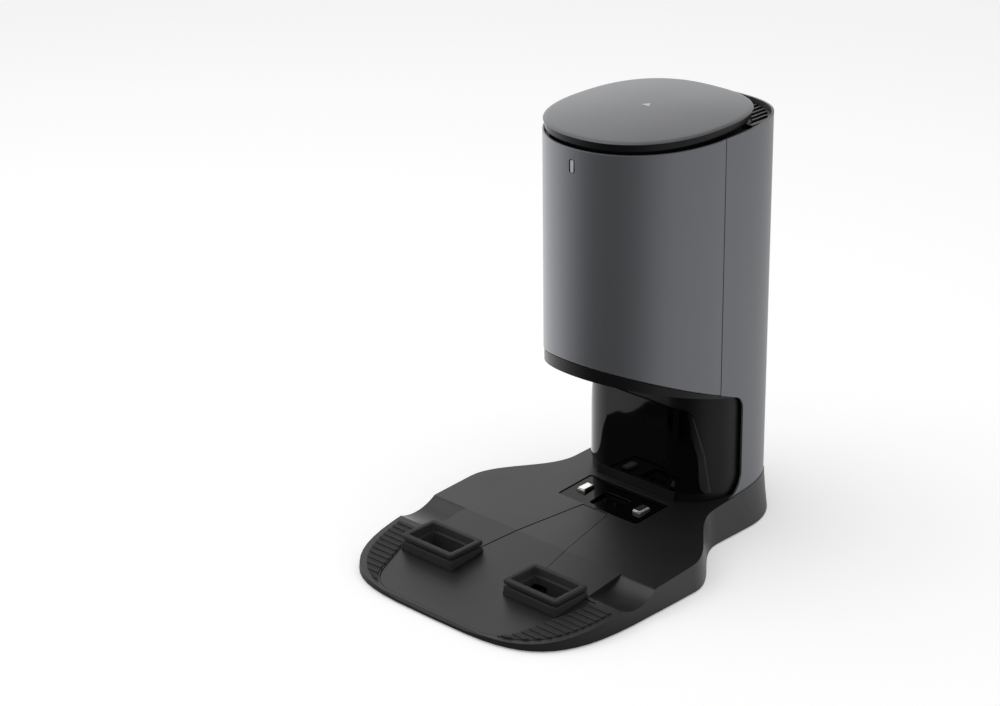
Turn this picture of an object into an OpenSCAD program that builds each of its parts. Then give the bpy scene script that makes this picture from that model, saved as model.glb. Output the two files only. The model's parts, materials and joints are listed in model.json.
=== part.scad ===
// Auto-empty docking station of a robot vacuum: a low ramp plate that the robot
// drives onto, and a tower behind it that holds the dust bag, filter and fan.
// Millimetres, +Z up, -Y is the front where the robot drives in.
// The origin is on the floor, under the middle of the station's box.

/* [Base plate] */
// Width of the ramp plate at the floor
base_w = 300; // [280:1:320]
// Length of the station, front of the ramp to back of the tower
base_len = 430; // [420:1:450]
// Squareness of the ramp's front corners, as a superellipse exponent
ramp_square = 3.8; // [2.6:0.1:4.5]
// How far the tower's foot stands out past the tower's sides, at the floor
foot_out = 11.5; // [9:0.5:15]
// How far the plate's seat stands out past the tower's sides
seat_out = 0.8; // [0.4:0.1:3]
// How far the plate's sides lean in, from floor to seat
plate_draft = 5; // [1:0.5:8]
// Thickness of the base's side walls
base_wall = 2.6; // [2:0.1:3.2]
// Thickness of the deck
deck_t = 3; // [2.6:0.1:3.4]
// Height of the front nose
nose_z = 4.5; // [4:0.1:6]
// Height of the deck at the start of the ramp
ramp_z = 6.8; // [6.4:0.1:9]
// Distance of the ramp's upper end behind its front edge
knee_back = 153; // [147:1:157]
// Height of the deck at the ramp's upper end
knee_z = 25; // [24:0.1:27]
// Height of the tower's seat
seat_z = 36; // [35:0.5:40]
// Height of the rubber feet
foot_h = 1.5; // [1:0.1:3]
// Radius of the rubber feet
foot_r = 8; // [5:0.5:10]
// Thickness of the bottom cover
cover_t = 2; // [1.6:0.1:2.4]
// Radius of the wheel hollows
groove_r = 45; // [40:1:48]
// Distance of the wheel hollows behind the ramp's front edge
groove_back = 125; // [123:1:127]
// Height of the lowest line of the wheel hollows
groove_z = 15; // [14:0.5:18]
// Half distance between the inner ends of the wheel hollows
groove_in = 103; // [102:1:110]

/* [Intake] */
// Width of an intake opening
port_w = 52; // [44:1:54]
// Depth of an intake opening, front to back
port_d = 28.6; // [24:0.2:30]
// Distance of the intake openings' centres in from the plate's sides
port_in = 82; // [81:0.5:84]
// Distance of the intake openings behind the ramp's front edge
port_back = 85.3; // [84:0.1:87]
// Height of the rubber lips
port_z = 30; // [28:0.5:32]
// Width of the rubber frame around an opening
seal_rim = 7.2; // [6:0.1:7.4]
// Wall of the air ducts
duct_t = 1.6; // [1.2:0.1:2]
// Top of the duct under the deck
duct_z = 17.5; // [15:0.1:18]
// Half width of the duct under the deck
duct_hw = 30; // [24:1:34]
// Width of the riser duct
riser_w = 32; // [30:1:36]
// Distance of the riser duct left of the middle
riser_left = 14; // [12:0.5:15]
// Depth of the riser duct
riser_d = 30; // [26:1:32]
// Height of the riser's outlet, middle
riser_out_z = 333; // [325:1:340]

/* [Contacts] */
// Half distance between the charging pads
contact_x = 36.6; // [34:0.1:38]
// Distance of the charging pads in front of the tower's seams
contact_front = 47; // [45:0.5:49]
// Width of a charging pad
pad_w = 10; // [8:0.5:12]
// Length of a charging pad
pad_l = 16; // [12:0.5:18]
// How far a pad stands above the deck
pad_rise = 2.4; // [1.5:0.1:3.2]
// Travel of a pad
pad_travel = 2; // [1:0.1:2.2]
// Width of the contact panel
panel_w = 104; // [100:1:108]
// Depth of the contact panel
panel_d = 50; // [46:1:52]
// Wire of the contact springs
spring_wire = 0.5; // [0.4:0.05:0.6]
// Turns of the contact springs
spring_turns = 4; // [3:1:4]

/* [Tower] */
// Width of the tower
tower_w = 181; // [178:1:184]
// Depth of the tower in front of its side seams
tower_front = 108; // [106:1:112]
// Distance of the side seams in front of the tower's back
tower_rear = 125; // [123:1:127]
// Squareness of the tower's back, as a superellipse exponent
tower_square = 3.1; // [2.6:0.1:3.4]
// Squareness of the foot's back, as a superellipse exponent
foot_square = 2.2; // [2:0.1:2.4]
// How far the seams between the shells lie behind the tower's widest place
split_back = 7; // [2:0.5:10]
// Height of the shells' rim
rim_z = 413.5; // [408:0.5:423]
// Wall of the shells
shell_t = 2.2; // [1.8:0.1:2.4]
// Gap between the front and rear shells
seam_gap = 0.3; // [0.1:0.1:0.6]
// Height of the shells' lower edge at the front
brow_z = 198.2; // [192:0.2:204]
// Fall of the lower edge towards the back, per mm
brow_fall = 0.4; // [0.36:0.01:0.44]
// Height of the dark chin band at the front
chin_h = 14; // [10:0.5:16]
// Back edge of the dock recess, in front of the tower's back
recess_back = 82; // [80:1:84]
// Radius of the recess's upper rear corner
recess_r_top = 17; // [10:1:20]
// Radius of the recess's lower rear corner
recess_r_low = 22; // [14:1:26]
// Thickness of the ceiling over the robot
soffit_t = 3; // [2:0.1:4]

/* [Dock liner] */
// Front face of the liner, in front of the side seams
liner_front = 12; // [10:0.5:14]
// Radius of the liner's corners
liner_r = 46; // [38:1:48]
// Wall of the liner
liner_t = 2.5; // [2:0.1:3]
// Height of the sill under the window
sill_h = 10; // [8:0.5:12]
// Depth of the sill in front of the liner
sill_d = 7; // [4:0.5:8]
// Top of the infrared window
window_z = 132; // [120:1:136]
// Half width of the window at its foot
window_hw = 78; // [70:1:80]
// Thickness of the window
window_t = 1.5; // [1:0.1:2]

/* [Lid] */
// How far the lid's sides lie in from the tower's
lid_in = 3.8; // [2.4:0.1:4.6]
// How far the lid's front edge lies behind the tower's front
lid_front_in = 1.7; // [1:0.1:3]
// How far the lid's back edge lies in front of the tower's back
lid_rear_in = 23.8; // [23:0.1:25]
// Thickness of the lid plate at its edge
lid_t = 1.6; // [1.2:0.1:2.4]
// Rise of the lid's crown
lid_crown = 5.4; // [3:0.1:8]
// Height of the dark skirt under the lid plate
skirt_h = 6.5; // [6:0.1:7.4]
// Radius of the hinge pin
pin_r = 1.2; // [1:0.1:1.3]
// Radius of the hinge knuckles
knuckle_r = 2.2; // [2:0.1:2.3]
// Width of one hinge knuckle of the lid
knuckle_w = 10; // [8:0.5:11]
// Distance of the hinge axis in front of the lid's back edge
hinge_in = 7.2; // [6.7:0.1:7.7]

/* [Dust bag bay] */
// How far the bay stands in from the tower's sides
bay_in = 22.5; // [20.5:0.5:26.5]
// Depth of the bay in front of the seams
bay_front = 84; // [78:1:85]
// Depth of the bay behind the seams
bay_rear = 66; // [62:1:67]
// Wall of the bay
bay_t = 2; // [1.6:0.1:2.4]
// Height of the bay's floor
bay_z = 226; // [222:1:232]
// Radius of the bag's port
bag_port_r = 13; // [11:0.5:14]

/* [Fan] */
// Radius of the fan housing
fan_r = 42; // [38:1:42]
// Bottom of the fan housing
fan_z = 70; // [64:1:74]
// Height of the fan housing's lower half
cup_h = 64; // [62:1:68]
// Height of the fan housing's cap
cap_h = 26; // [25:1:28]
// Radius of the motor
motor_r = 22; // [20:0.5:24]
// Radius of the motor shaft
shaft_r = 2.5; // [2:0.1:3]
// Running clearance of the shaft
run_gap = 0.03; // [0.02:0.01:0.08]
// Radius of the impeller
impeller_r = 36; // [30:1:37]
// Blades of the impeller
blades = 9; // [6:1:12]

/* [Fits] */
// Gap between pieces that are set into each other
fit = 0.3; // [0.2:0.05:0.4]

/* [Hidden] */
$fn = 64;
front_y = -base_len / 2;
rear_y = base_len / 2;
seam_y = rear_y - tower_rear;
tower_y = seam_y - tower_front;
split_y = seam_y + split_back;
ring_y = mix(front_y, seam_y, 0.551);
ramp_y = front_y + 2.5;
knee_y = front_y + knee_back;
recess_y = rear_y - recess_back;
plate_seat_y = recess_y;
floor_z = foot_h + cover_t;
groove_y = front_y + groove_back;
port_x = base_w / 2 - port_in;
port_y = front_y + port_back;
bay_hw = tower_w / 2 - bay_in;
contact_y = seam_y - contact_front;
board_t = 1.6;
inlay_t = 1.2;
inlay_drop = 0.3;
inlay_gap = 0.4;
total_z = rim_z + 16.35;
lid_z = total_z - lid_crown - lid_t;
skirt_z = lid_z - skirt_h;
neck_z = skirt_z - fit;
deck_top_z = rim_z - 6.5;
top_deck_t = 3;
hinge_y = rear_y - lid_rear_in - hinge_in;
hinge_z = skirt_z + 1.5;
tray_z = skirt_z + 2.1;
fan_y = seam_y + 38;
cup_z = fan_z + cup_h;
cap_z = cup_z + cap_h;
collar_r = 20;
collar_h = 8;
filter_h = 20;
filter_z = bay_z - filter_h;
boot_t = 2.5;
riser_y = rear_y - 11 - riser_d;
riser_x = -riser_left;
foot_w = tower_w + 2 * foot_out;
lid_w = tower_w - 2 * lid_in;
lid_front = tower_front - lid_front_in;
lid_rear = tower_rear - lid_rear_in;
inner_hw = tower_w / 2 - shell_t;
liner_hw = inner_hw - 3.5;
liner_y = seam_y - liner_front;
liner_end = recess_y + 4;

// ---------------------------------------------------------------- outlines

function mix(a, b, t) = a + (b - a) * t;
function spow(v, p) = sign(v) * pow(abs(v), p);

// Egg outline about the seam line: half width, front depth and rear depth, each end with
// its own superellipse exponent
function egg(hw, front, n_front, rear, n_rear) = [for (t = [0:4:356]) let (
    d = sin(t) < 0 ? front : rear,
    n = sin(t) < 0 ? n_front : n_rear)
    [hw * spow(cos(t), 2 / n), seam_y + d * spow(sin(t), 2 / n)]];

function tower_line(inset) = egg(tower_w / 2 - inset, tower_front - inset, 2.1, tower_rear - inset,
    tower_square);
function lid_line(inset) = egg(lid_w / 2 - inset, lid_front - inset, 2.26, lid_rear - inset, 2.5);
function bay_line(inset) = egg(bay_hw - inset, bay_front - inset, 2.1, bay_rear - inset, 5);

// Tangent arc of radius r at corner c between the neighbours p and q
function fillet(p, c, q, r, steps) = let (
    u = (p - c) / norm(p - c),
    v = (q - c) / norm(q - c),
    half = acos(u * v) / 2,
    o = c + (u + v) / norm(u + v) * r / sin(half),
    s = c + u * r / tan(half) - o,
    e = c + v * r / tan(half) - o,
    a0 = atan2(s.y, s.x),
    turn = atan2(s.x * e.y - s.y * e.x, s * e))
    [for (i = [0:steps]) o + r * [cos(a0 + turn * i / steps), sin(a0 + turn * i / steps)]];

// Outline whose corners [x, y, r] are rounded with radius r
function rounded(c, steps = 6) = [for (i = [0:len(c) - 1]) let (
    n = len(c),
    p = c[(i + n - 1) % n],
    q = c[(i + 1) % n])
    each c[i].z == 0 ? [[c[i].x, c[i].y]]
        : fillet([p.x, p.y], [c[i].x, c[i].y], [q.x, q.y], c[i].z, steps)];

function box_line(w, d, r) = rounded([[-w / 2, -d / 2, r], [w / 2, -d / 2, r], [w / 2, d / 2, r],
    [-w / 2, d / 2, r]], 4);

// Right half of the base outline, front to back: a superellipse nose, an easing curve that
// draws the plate in to the tower's foot, and a rounded back
function base_half(hw, hw_foot, blend_y0, blend_y1, back_y, n_back, inset) = concat(
    [for (t = [90:-6:0]) [(hw - inset) * pow(cos(t), 2 / ramp_square),
        ring_y - (ring_y - front_y - inset) * pow(sin(t), 2 / ramp_square)]],
    [for (i = [0:12]) [mix(hw, hw_foot, (1 - cos(180 * i / 12)) / 2) - inset,
        mix(blend_y0, blend_y1, i / 12)]],
    [for (t = [0:6:90]) [(hw_foot - inset) * pow(cos(t), 2 / n_back),
        back_y + (rear_y - back_y - inset) * pow(sin(t), 2 / n_back)]]);

function both_sides(half) = concat(half,
    [for (i = [len(half) - 2:-1:1]) [-half[i].x, half[i].y]]);

function floor_line(inset) = both_sides(base_half(base_w / 2, foot_w / 2, seam_y - 99, seam_y - 8,
    seam_y + 40, foot_square, inset));
function seat_line(inset) = both_sides(base_half(base_w / 2 - plate_draft, tower_w / 2 + seat_out,
    seam_y - 100, seam_y - 0.5, seam_y, tower_square, inset));

// Height of the deck's upper face
function deck_z(y) = y < knee_y ? mix(ramp_z, knee_z, (y - ramp_y) / (knee_y - ramp_y))
    : y < plate_seat_y ? mix(knee_z, seat_z, (y - knee_y) / (plate_seat_y - knee_y)) : seat_z;

// Height of the shells' lower edge, and of the ceiling under them
function brow(y) = brow_z - brow_fall * (y - tower_y);
function ceiling(y) = mix(brow_z - chin_h, brow(recess_y), (y - tower_y) / (recess_y - tower_y));

// ---------------------------------------------------------------- tools

// A side-view outline (y, z) extruded along X
module along_x(w, line) {
    rotate([90, 0, 90]) linear_extrude(w, center = true) polygon(line);
}

// A front-view outline (x, z) extruded along Y
module along_y(w, line) {
    rotate([90, 0, 0]) linear_extrude(w, center = true) polygon(line);
}

module prism(line, z0, z1) {
    translate([0, 0, z0]) linear_extrude(z1 - z0) polygon(line);
}

module tube(outer, inner, z0, z1) {
    translate([0, 0, z0]) linear_extrude(z1 - z0) difference() {
        polygon(outer);
        polygon(inner);
    }
}

module ring(r_out, r_in, h) {
    difference() {
        cylinder(r = r_out, h = h);
        translate([0, 0, -1]) cylinder(r = r_in, h = h + 2);
    }
}

module block(x0, x1, y0, y1, z0, z1) {
    translate([x0, y0, z0]) cube([x1 - x0, y1 - y0, z1 - z0]);
}

// Solid between two outlines with the same number of points
module loft(lower, upper, z0, z1) {
    n = len(lower);
    polyhedron(
        points = concat([for (p = lower) [p.x, p.y, z0]], [for (p = upper) [p.x, p.y, z1]]),
        faces = concat([[for (i = [0:n - 1]) i]], [[for (i = [n - 1:-1:0]) n + i]],
            [for (i = [0:n - 1]) [i, n + i, n + (i + 1) % n]],
            [for (i = [0:n - 1]) [i, n + (i + 1) % n, (i + 1) % n]]));
}

// Everything between the deck's upper face, moved by t0, and the same face moved by t1
module deck_band(t0, t1) {
    edge = [[front_y - 1, nose_z - 1.5], [ramp_y, ramp_z], [knee_y, knee_z], [plate_seat_y, seat_z],
        [rear_y + 1, seat_z]];
    along_x(base_w + 2, concat([for (p = edge) [p.x, p.y + t1]],
        [for (i = [len(edge) - 1:-1:0]) [edge[i].x, edge[i].y + t0]]));
}

// Everything under the deck's upper face, moved by t
module under_deck(t) {
    deck_band(-seat_z - 5, t);
}

// The room that the robot drives into, as a side-view cut right across the tower
module recess_cut() {
    reach = tower_y - 40;
    low = deck_z(recess_y - recess_r_low);
    along_x(tower_w + 60, rounded([[reach, brow(reach), 0], [reach, low, 0],
        [recess_y, low, recess_r_low], [recess_y, brow(recess_y), recess_r_top]], 8));
    block(-tower_w, tower_w, reach, recess_y - recess_r_low, low - 20, low + 1);
}

// Everything under a slope given as a function of y
module under_slope(z_front, z_back, y0, y1) {
    along_x(base_w, [[y0, 0], [y1, 0], [y1, z_back], [y0, z_front]]);
}

module under_ceiling(t) {
    under_slope(ceiling(tower_y - 40) + t, ceiling(rear_y) + t, tower_y - 40, rear_y);
}

module under_brow(t) {
    under_slope(brow(tower_y - 40) + t, brow(rear_y) + t, tower_y - 40, rear_y);
}

// Round wire wound about the Z axis, from z0 to z1
module coil(r, wire, turns, z0, z1) {
    sides = 8;
    steps = 12 * turns;
    rise = (z1 - z0 - wire) / steps;
    pts = [for (i = [0:steps], k = [0:sides - 1]) let (
        a = 30 * i,
        b = 360 * k / sides,
        q = r + wire / 2 * cos(b))
        [q * cos(a), q * sin(a), z0 + wire / 2 + rise * i + wire / 2 * sin(b)]];
    last = steps * sides;
    polyhedron(points = pts, faces = concat(
        [[for (k = [0:sides - 1]) k]], [[for (k = [sides - 1:-1:0]) last + k]],
        [for (i = [0:steps - 1], k = [0:sides - 1]) let (m = (k + 1) % sides)
            [i * sides + k, (i + 1) * sides + k, (i + 1) * sides + m]],
        [for (i = [0:steps - 1], k = [0:sides - 1]) let (m = (k + 1) % sides)
            [i * sides + k, (i + 1) * sides + m, i * sides + m]]));
}

// ---------------------------------------------------------------- base

screw_r = 1.45;
boss_r = 4;
screw_places = [for (s = [-1, 1], p = [[0.8 * base_w / 2, knee_y + 32],
    [0.53 * base_w / 2, mix(front_y, port_y, 0.47)], [inner_hw - 17, seam_y - 30],
    [inner_hw - 29, rear_y - 25]]) [s * p.x, p.y]];
foot_places = [for (s = [-1, 1], p = [[0.82 * base_w / 2, knee_y - 8], [0.4 * base_w / 2, front_y + 24],
    [inner_hw - 12, seam_y + 10], [inner_hw - 52, rear_y - 22]]) [s * p.x, p.y]];
function screw_room(p) = min(8, deck_z(p.y) - deck_t - floor_z - 0.6);

seal_w = port_w + 2 * seal_rim;
seal_d = port_d + 2 * seal_rim;
neck_w = port_w + 2 * duct_t;
neck_d = port_d + 2 * duct_t;

// Inlay: half widths at its front, its sides, and the tongue's foot and tip, and its corner radius
inlay_front_hw = base_w / 2 - 66;
inlay_side_hw = base_w / 2 - 33;
tongue_foot_hw = port_x - 27;
tongue_tip_hw = panel_w / 2 - 35;
inlay_r = 36;

// Outline of the ramp's inlay: a wide front part, notched for the intake frames, and a
// tongue that narrows towards the contact panel
function inlay_line(g) = let (
    front = front_y + 5 + g,
    side = port_y + 16.7 - g,
    back = port_y + seal_d / 2 + fit - g,
    outer = port_x + seal_w / 2 + fit,
    tip = contact_y - panel_d / 2 - 1 - g,
    half = [[inlay_front_hw - g, front, inlay_r], [inlay_side_hw - g, side, 0], [outer, side, 0],
        [outer, back, 0], [tongue_foot_hw - g, back, 0], [tongue_tip_hw - g, tip, 3]])
    rounded(concat(half, [for (i = [len(half) - 1:-1:0]) [-half[i].x, half[i].y, half[i].z]]), 8);

module grooves(skin) {
    for (s = [-1, 1]) {
        reach = base_w / 2 - groove_in + skin + 2;
        translate([s * (groove_in - skin + reach / 2), groove_y, groove_z + groove_r])
            rotate([0, 90, 0]) cylinder(r = groove_r + skin, h = reach, center = true, $fn = 96);
    }
}

module at_ports() {
    for (s = [-1, 1]) translate([s * port_x, port_y, 0]) children();
}

module base_cover() {
    color([0.13, 0.13, 0.14]) difference() {
        intersection() {
            loft(floor_line(0), seat_line(0), foot_h, seat_z);
            under_deck(0);
        }
        difference() {
            intersection() {
                loft(floor_line(base_wall), seat_line(base_wall), foot_h - 0.5, seat_z + 0.5);
                under_deck(-deck_t);
            }
            grooves(deck_t);
            for (p = screw_places) translate([p.x, p.y, floor_z]) cylinder(r = boss_r, h = seat_z);
        }
        grooves(0);
        intersection() {
            prism(inlay_line(0), 0, seat_z);
            deck_band(-inlay_t - inlay_drop, 5);
        }
        at_ports() prism(box_line(neck_w + 2 * fit, neck_d + 2 * fit, 2), 0, seat_z);
        translate([0, contact_y, 0]) {
            prism(box_line(panel_w - 8, panel_d - 8, 2), 0, seat_z);
            intersection() {
                prism(box_line(panel_w, panel_d, 3), 0, seat_z);
                translate([0, -contact_y, 0]) deck_band(-2.2, 5);
            }
        }
        translate([riser_x, 0, 0]) block(-riser_w / 2 - fit, riser_w / 2 + fit, riser_y - fit,
            riser_y + riser_d + fit, floor_z, seat_z + 1);
        translate([lead_x, lead_y, floor_z]) cylinder(r = lead_r + 1.5, h = seat_z);
        for (p = screw_places) translate([p.x, p.y, floor_z - 1])
            cylinder(r = screw_r + 0.05, h = screw_room(p) + 1);
    }
}

module bottom_cover() {
    color([0.1, 0.1, 0.1]) difference() {
        prism(floor_line(base_wall + 1.2), foot_h, floor_z);
        for (p = screw_places) translate([p.x, p.y, foot_h - 1]) {
            cylinder(r = 3.1, h = 2.2);
            cylinder(r = screw_r + 0.05, h = 6);
        }
    }
}

module rubber_feet() {
    color([0.2, 0.2, 0.2]) for (p = foot_places) translate([p.x, p.y, 0]) cylinder(r = foot_r, h = foot_h);
}

module base_screws() {
    color([0.6, 0.6, 0.62]) for (p = screw_places) translate([p.x, p.y, foot_h]) {
        cylinder(r = 3, h = 1.2);
        cylinder(r = screw_r, h = cover_t + screw_room(p) - 0.5);
    }
}

module ramp_inlay() {
    color([0.2, 0.2, 0.21]) difference() {
        intersection() {
            prism(inlay_line(inlay_gap), 0, seat_z);
            deck_band(-inlay_t - inlay_drop, -inlay_drop);
        }
        at_ports() prism(box_line(seal_w + 2 * fit, seal_d + 2 * fit + 0.01, 0), 0, seat_z);
    }
}

// Ribbed rubber pad on the plate's rim, right side
module grip_pad() {
    rib_pitch = 7.5;
    rib_w = 3;
    y0 = front_y + 9;
    y1 = groove_y - 27;
    intersection() {
        linear_extrude(seat_z + 10) difference() {
            intersection() {
                polygon(seat_line(4));
                translate([0, y0]) square([base_w, y1 - y0]);
            }
            polygon(inlay_line(-1.5));
        }
        union() {
            deck_band(0, 0.6);
            intersection() {
                deck_band(0, 1.6);
                for (y = [y0 + 2:rib_pitch:y1 - rib_w]) block(0, base_w, y, y + rib_w, 0, seat_z);
            }
        }
    }
}

module grip_pad_right() {
    color([0.15, 0.15, 0.16]) grip_pad();
}

module grip_pad_left() {
    color([0.15, 0.15, 0.16]) mirror([1, 0, 0]) grip_pad();
}

// ---------------------------------------------------------------- intake

// Rubber frame round an intake opening, with a folded waist under its lip
module intake_seal(s) {
    lip_z = port_z - 5.5;
    waist_z = lip_z - 2.8;
    color([0.16, 0.16, 0.17]) difference() {
        translate([s * port_x, port_y, 0]) difference() {
            union() {
                prism(box_line(seal_w, seal_d, 3), 5, waist_z);
                prism(box_line(seal_w - 5, seal_d - 5, 2), 5, port_z);
                prism(box_line(seal_w, seal_d, 3), lip_z, port_z);
            }
            prism(box_line(port_w, port_d, 2), 0, port_z + 1);
            prism(box_line(neck_w + 2 * fit, neck_d + 2 * fit, 2), 0, waist_z + fit);
        }
        under_deck(-inlay_t - inlay_drop);
    }
}

module intake_seal_left() {
    intake_seal(-1);
}

module intake_seal_right() {
    intake_seal(1);
}

// Plan of the duct under the deck, drawn in by t on every side
function duct_line(t) = let (
    hx = port_x + neck_w / 2 - t,
    y0 = port_y - neck_d / 2 + t,
    y1 = port_y + neck_d / 2 - t,
    hw = duct_hw - t,
    y2 = riser_y + riser_d - t)
    [[-hx, y0], [hx, y0], [hx, y1], [hw + 28, y1], [hw, y1 + 34], [hw, y2], [-hw, y2], [-hw, y1 + 34],
        [-hw - 28, y1], [-hx, y1]];

// Room of the duct under the deck, drawn in by t on every side
module duct_room(t) {
    intersection() {
        prism(duct_line(t), floor_z + t, duct_z - t);
        under_deck(-deck_t - fit - t);
    }
}

module intake_duct() {
    neck_top = port_z - 8.5;
    color([0.3, 0.3, 0.31]) difference() {
        union() {
            duct_room(0);
            at_ports() prism(box_line(neck_w, neck_d, 2), floor_z + duct_t, neck_top);
        }
        duct_room(duct_t);
        at_ports() prism(box_line(port_w, port_d, 2), floor_z + duct_t, neck_top + 1);
        translate([riser_x, 0, 0]) block(-riser_w / 2 + duct_t, riser_w / 2 - duct_t, riser_y + duct_t,
            riser_y + riser_d - duct_t, floor_z + duct_t, duct_z + 1);
    }
}

// Upright duct at the back of the tower, with an elbow into the dust bag bay
module riser_duct() {
    h = 2 * bag_port_r + 4 + 2 * duct_t;
    top = riser_out_z + h / 2;
    bay_back = seam_y + bay_rear;
    color([0.3, 0.3, 0.31]) translate([riser_x, 0, 0]) difference() {
        union() {
            block(-riser_w / 2, riser_w / 2, riser_y, riser_y + riser_d, duct_z, top);
            block(-riser_w / 2, riser_w / 2, bay_back, riser_y + riser_d, top - h, top);
        }
        block(-riser_w / 2 + duct_t, riser_w / 2 - duct_t, riser_y + duct_t, riser_y + riser_d - duct_t,
            duct_z - 1, top - duct_t);
        block(-riser_w / 2 + duct_t, riser_w / 2 - duct_t, bay_back - 1, riser_y + riser_d - duct_t,
            top - h + duct_t, top - duct_t);
    }
}

// ---------------------------------------------------------------- contacts

contact_z = deck_z(contact_y);
panel_drop = 1;
panel_z = contact_z - 6;
flange_t = 1.2;
flange_z = panel_z - fit - flange_t;
bracket_t = 1.2;
bracket_z = duct_z + fit;
spring_z = bracket_z + bracket_t;

module at_contacts() {
    for (s = [-1, 1]) translate([s * contact_x, contact_y, 0]) children();
}

// Panel that fills the deck's opening: guides for the pads and a pocket for the sensor
module contact_panel() {
    color([0.07, 0.07, 0.08]) difference() {
        union() {
            intersection() {
                translate([0, contact_y, 0])
                    prism(box_line(panel_w - 2 * fit, panel_d - 2 * fit, 3), 0, seat_z);
                deck_band(-2.2, -panel_drop);
            }
            intersection() {
                translate([0, contact_y, 0])
                    prism(box_line(panel_w - 8 - 2 * fit, panel_d - 8 - 2 * fit, 2), panel_z, seat_z);
                under_deck(-panel_drop);
            }
        }
        at_contacts() prism(box_line(pad_w + 2 * fit, pad_l + 2 * fit, 1), 0, seat_z);
        translate([0, contact_y - 5, 0]) prism(box_line(32, 27, 3), contact_z - 4.2, seat_z);
    }
}

// Tray under the panel that carries the springs
module contact_bracket() {
    w = panel_w - 10;
    d = panel_d - 16;
    color([0.25, 0.25, 0.26]) translate([0, contact_y, 0]) {
        prism(box_line(w, d, 2), bracket_z, spring_z);
        for (s = [-1, 0, 1]) translate([s * (w / 2 - 1), 0, 0])
            block(-1, 1, -d / 2 + 3, d / 2 - 3, spring_z, panel_z);
        for (s = [-1, 1]) translate([s * contact_x, 0, spring_z]) cylinder(r = 1.2, h = 1.2);
    }
}

module contact_pad(s) {
    top = contact_z + pad_rise;
    color([0.85, 0.85, 0.86]) translate([s * contact_x, contact_y, 0]) {
        prism(box_line(pad_w, pad_l, 1), flange_z, top - 1.2);
        prism(box_line(pad_w - 1.6, pad_l - 1.6, 1), top - 1.2, top);
        prism(box_line(pad_w + 3, pad_l + 3, 1), flange_z, flange_z + flange_t);
    }
}

module contact_pad_left() {
    contact_pad(-1);
}

module contact_pad_right() {
    contact_pad(1);
}

module contact_spring(s) {
    color([0.7, 0.7, 0.72]) translate([s * contact_x, contact_y, 0])
        coil(2.4, spring_wire, spring_turns, spring_z + 0.02, flange_z - 0.02);
}

module contact_spring_left() {
    contact_spring(-1);
}

module contact_spring_right() {
    contact_spring(1);
}

// Pair of optical eyes in the pocket between the pads
module dock_sensor() {
    color([0.35, 0.33, 0.36]) translate([0, contact_y, contact_z - 4.2]) {
        translate([0, -1, 0]) prism(box_line(24, 12, 2), 0, 1);
        for (s = [-1, 1]) translate([s * 6.5, -1, 1]) cylinder(r = 3.2, h = 1.6);
    }
}

// ---------------------------------------------------------------- dock recess

// Places of the infrared eyes behind the window
eye_x = liner_hw - liner_r + 1.2;
eye_z = 85;

// Open U outline of the liner, grown by t
function liner_line(t, back) = rounded([[-liner_hw - t, back, 0], [-liner_hw - t, liner_y - t, liner_r + t],
    [liner_hw + t, liner_y - t, liner_r + t], [liner_hw + t, back, 0]], 12);

// Dark wall that the robot docks against, with a sloping sill at its foot
module dock_liner() {
    sill_w = 2 * (liner_hw - liner_r) + 24;
    color([0.18, 0.18, 0.19]) difference() {
        union() {
            prism(liner_line(0, liner_end), seat_z - 10, brow_z);
            along_x(sill_w, [[liner_y - sill_d, 0], [liner_y + liner_t, 0],
                [liner_y + liner_t, deck_z(liner_y) + sill_h], [liner_y - 1, deck_z(liner_y) + sill_h]]);
        }
        prism(liner_line(-liner_t, liner_end + 1), 0, brow_z + 1);
        under_deck(0);
        difference() {
            block(-tower_w, tower_w, tower_y, rear_y, 100, rim_z);
            under_ceiling(0);
        }
        for (x = [-eye_x, 0, eye_x]) translate([x, liner_y, eye_z]) rotate([-90, 0, 0])
            cylinder(r = 4, h = 4 * liner_t, center = true);
    }
}

// Glossy window, wrapped round the liner's corners
module ir_window() {
    foot = deck_z(liner_y) + sill_h + fit;
    color([0.02, 0.02, 0.02]) intersection() {
        difference() {
            prism(liner_line(window_t, liner_end), foot, window_z);
            prism(liner_line(0, liner_end + 1), 0, rim_z);
        }
        translate([0, liner_y + 20, 0]) along_y(60, rounded([[-window_hw, foot, 0], [window_hw, foot, 0],
            [window_hw - 4, eye_z, 10], [window_hw - 14, window_z, 12], [-window_hw + 14, window_z, 12],
            [-window_hw + 4, eye_z, 10]]));
    }
}

// Emitter and receiver board behind the window
module ir_board() {
    y = liner_y + liner_t;
    color([0.05, 0.3, 0.15]) {
        block(-eye_x - 10, eye_x + 10, y + 3, y + 3 + board_t, eye_z - 11, eye_z + 11);
        for (x = [-eye_x + 8, eye_x - 8]) block(x - 2, x + 2, y, y + 3, eye_z - 9, eye_z - 3);
    }
    color([0.3, 0.3, 0.35]) for (x = [-eye_x, 0, eye_x]) translate([x, y + 3.01, eye_z])
        rotate([90, 0, 0]) cylinder(r = 2.5, h = 4.5);
}

// Ceiling panel over the robot
module soffit() {
    color([0.16, 0.16, 0.17]) difference() {
        intersection() {
            prism(tower_line(3), 100, brow_z + 10);
            difference() {
                under_ceiling(soffit_t);
                under_ceiling(0);
            }
            block(-tower_w, tower_w, tower_y, recess_y - 16, 0, rim_z);
        }
        prism(liner_line(-liner_t, rear_y), 0, rim_z);
    }
}

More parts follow.
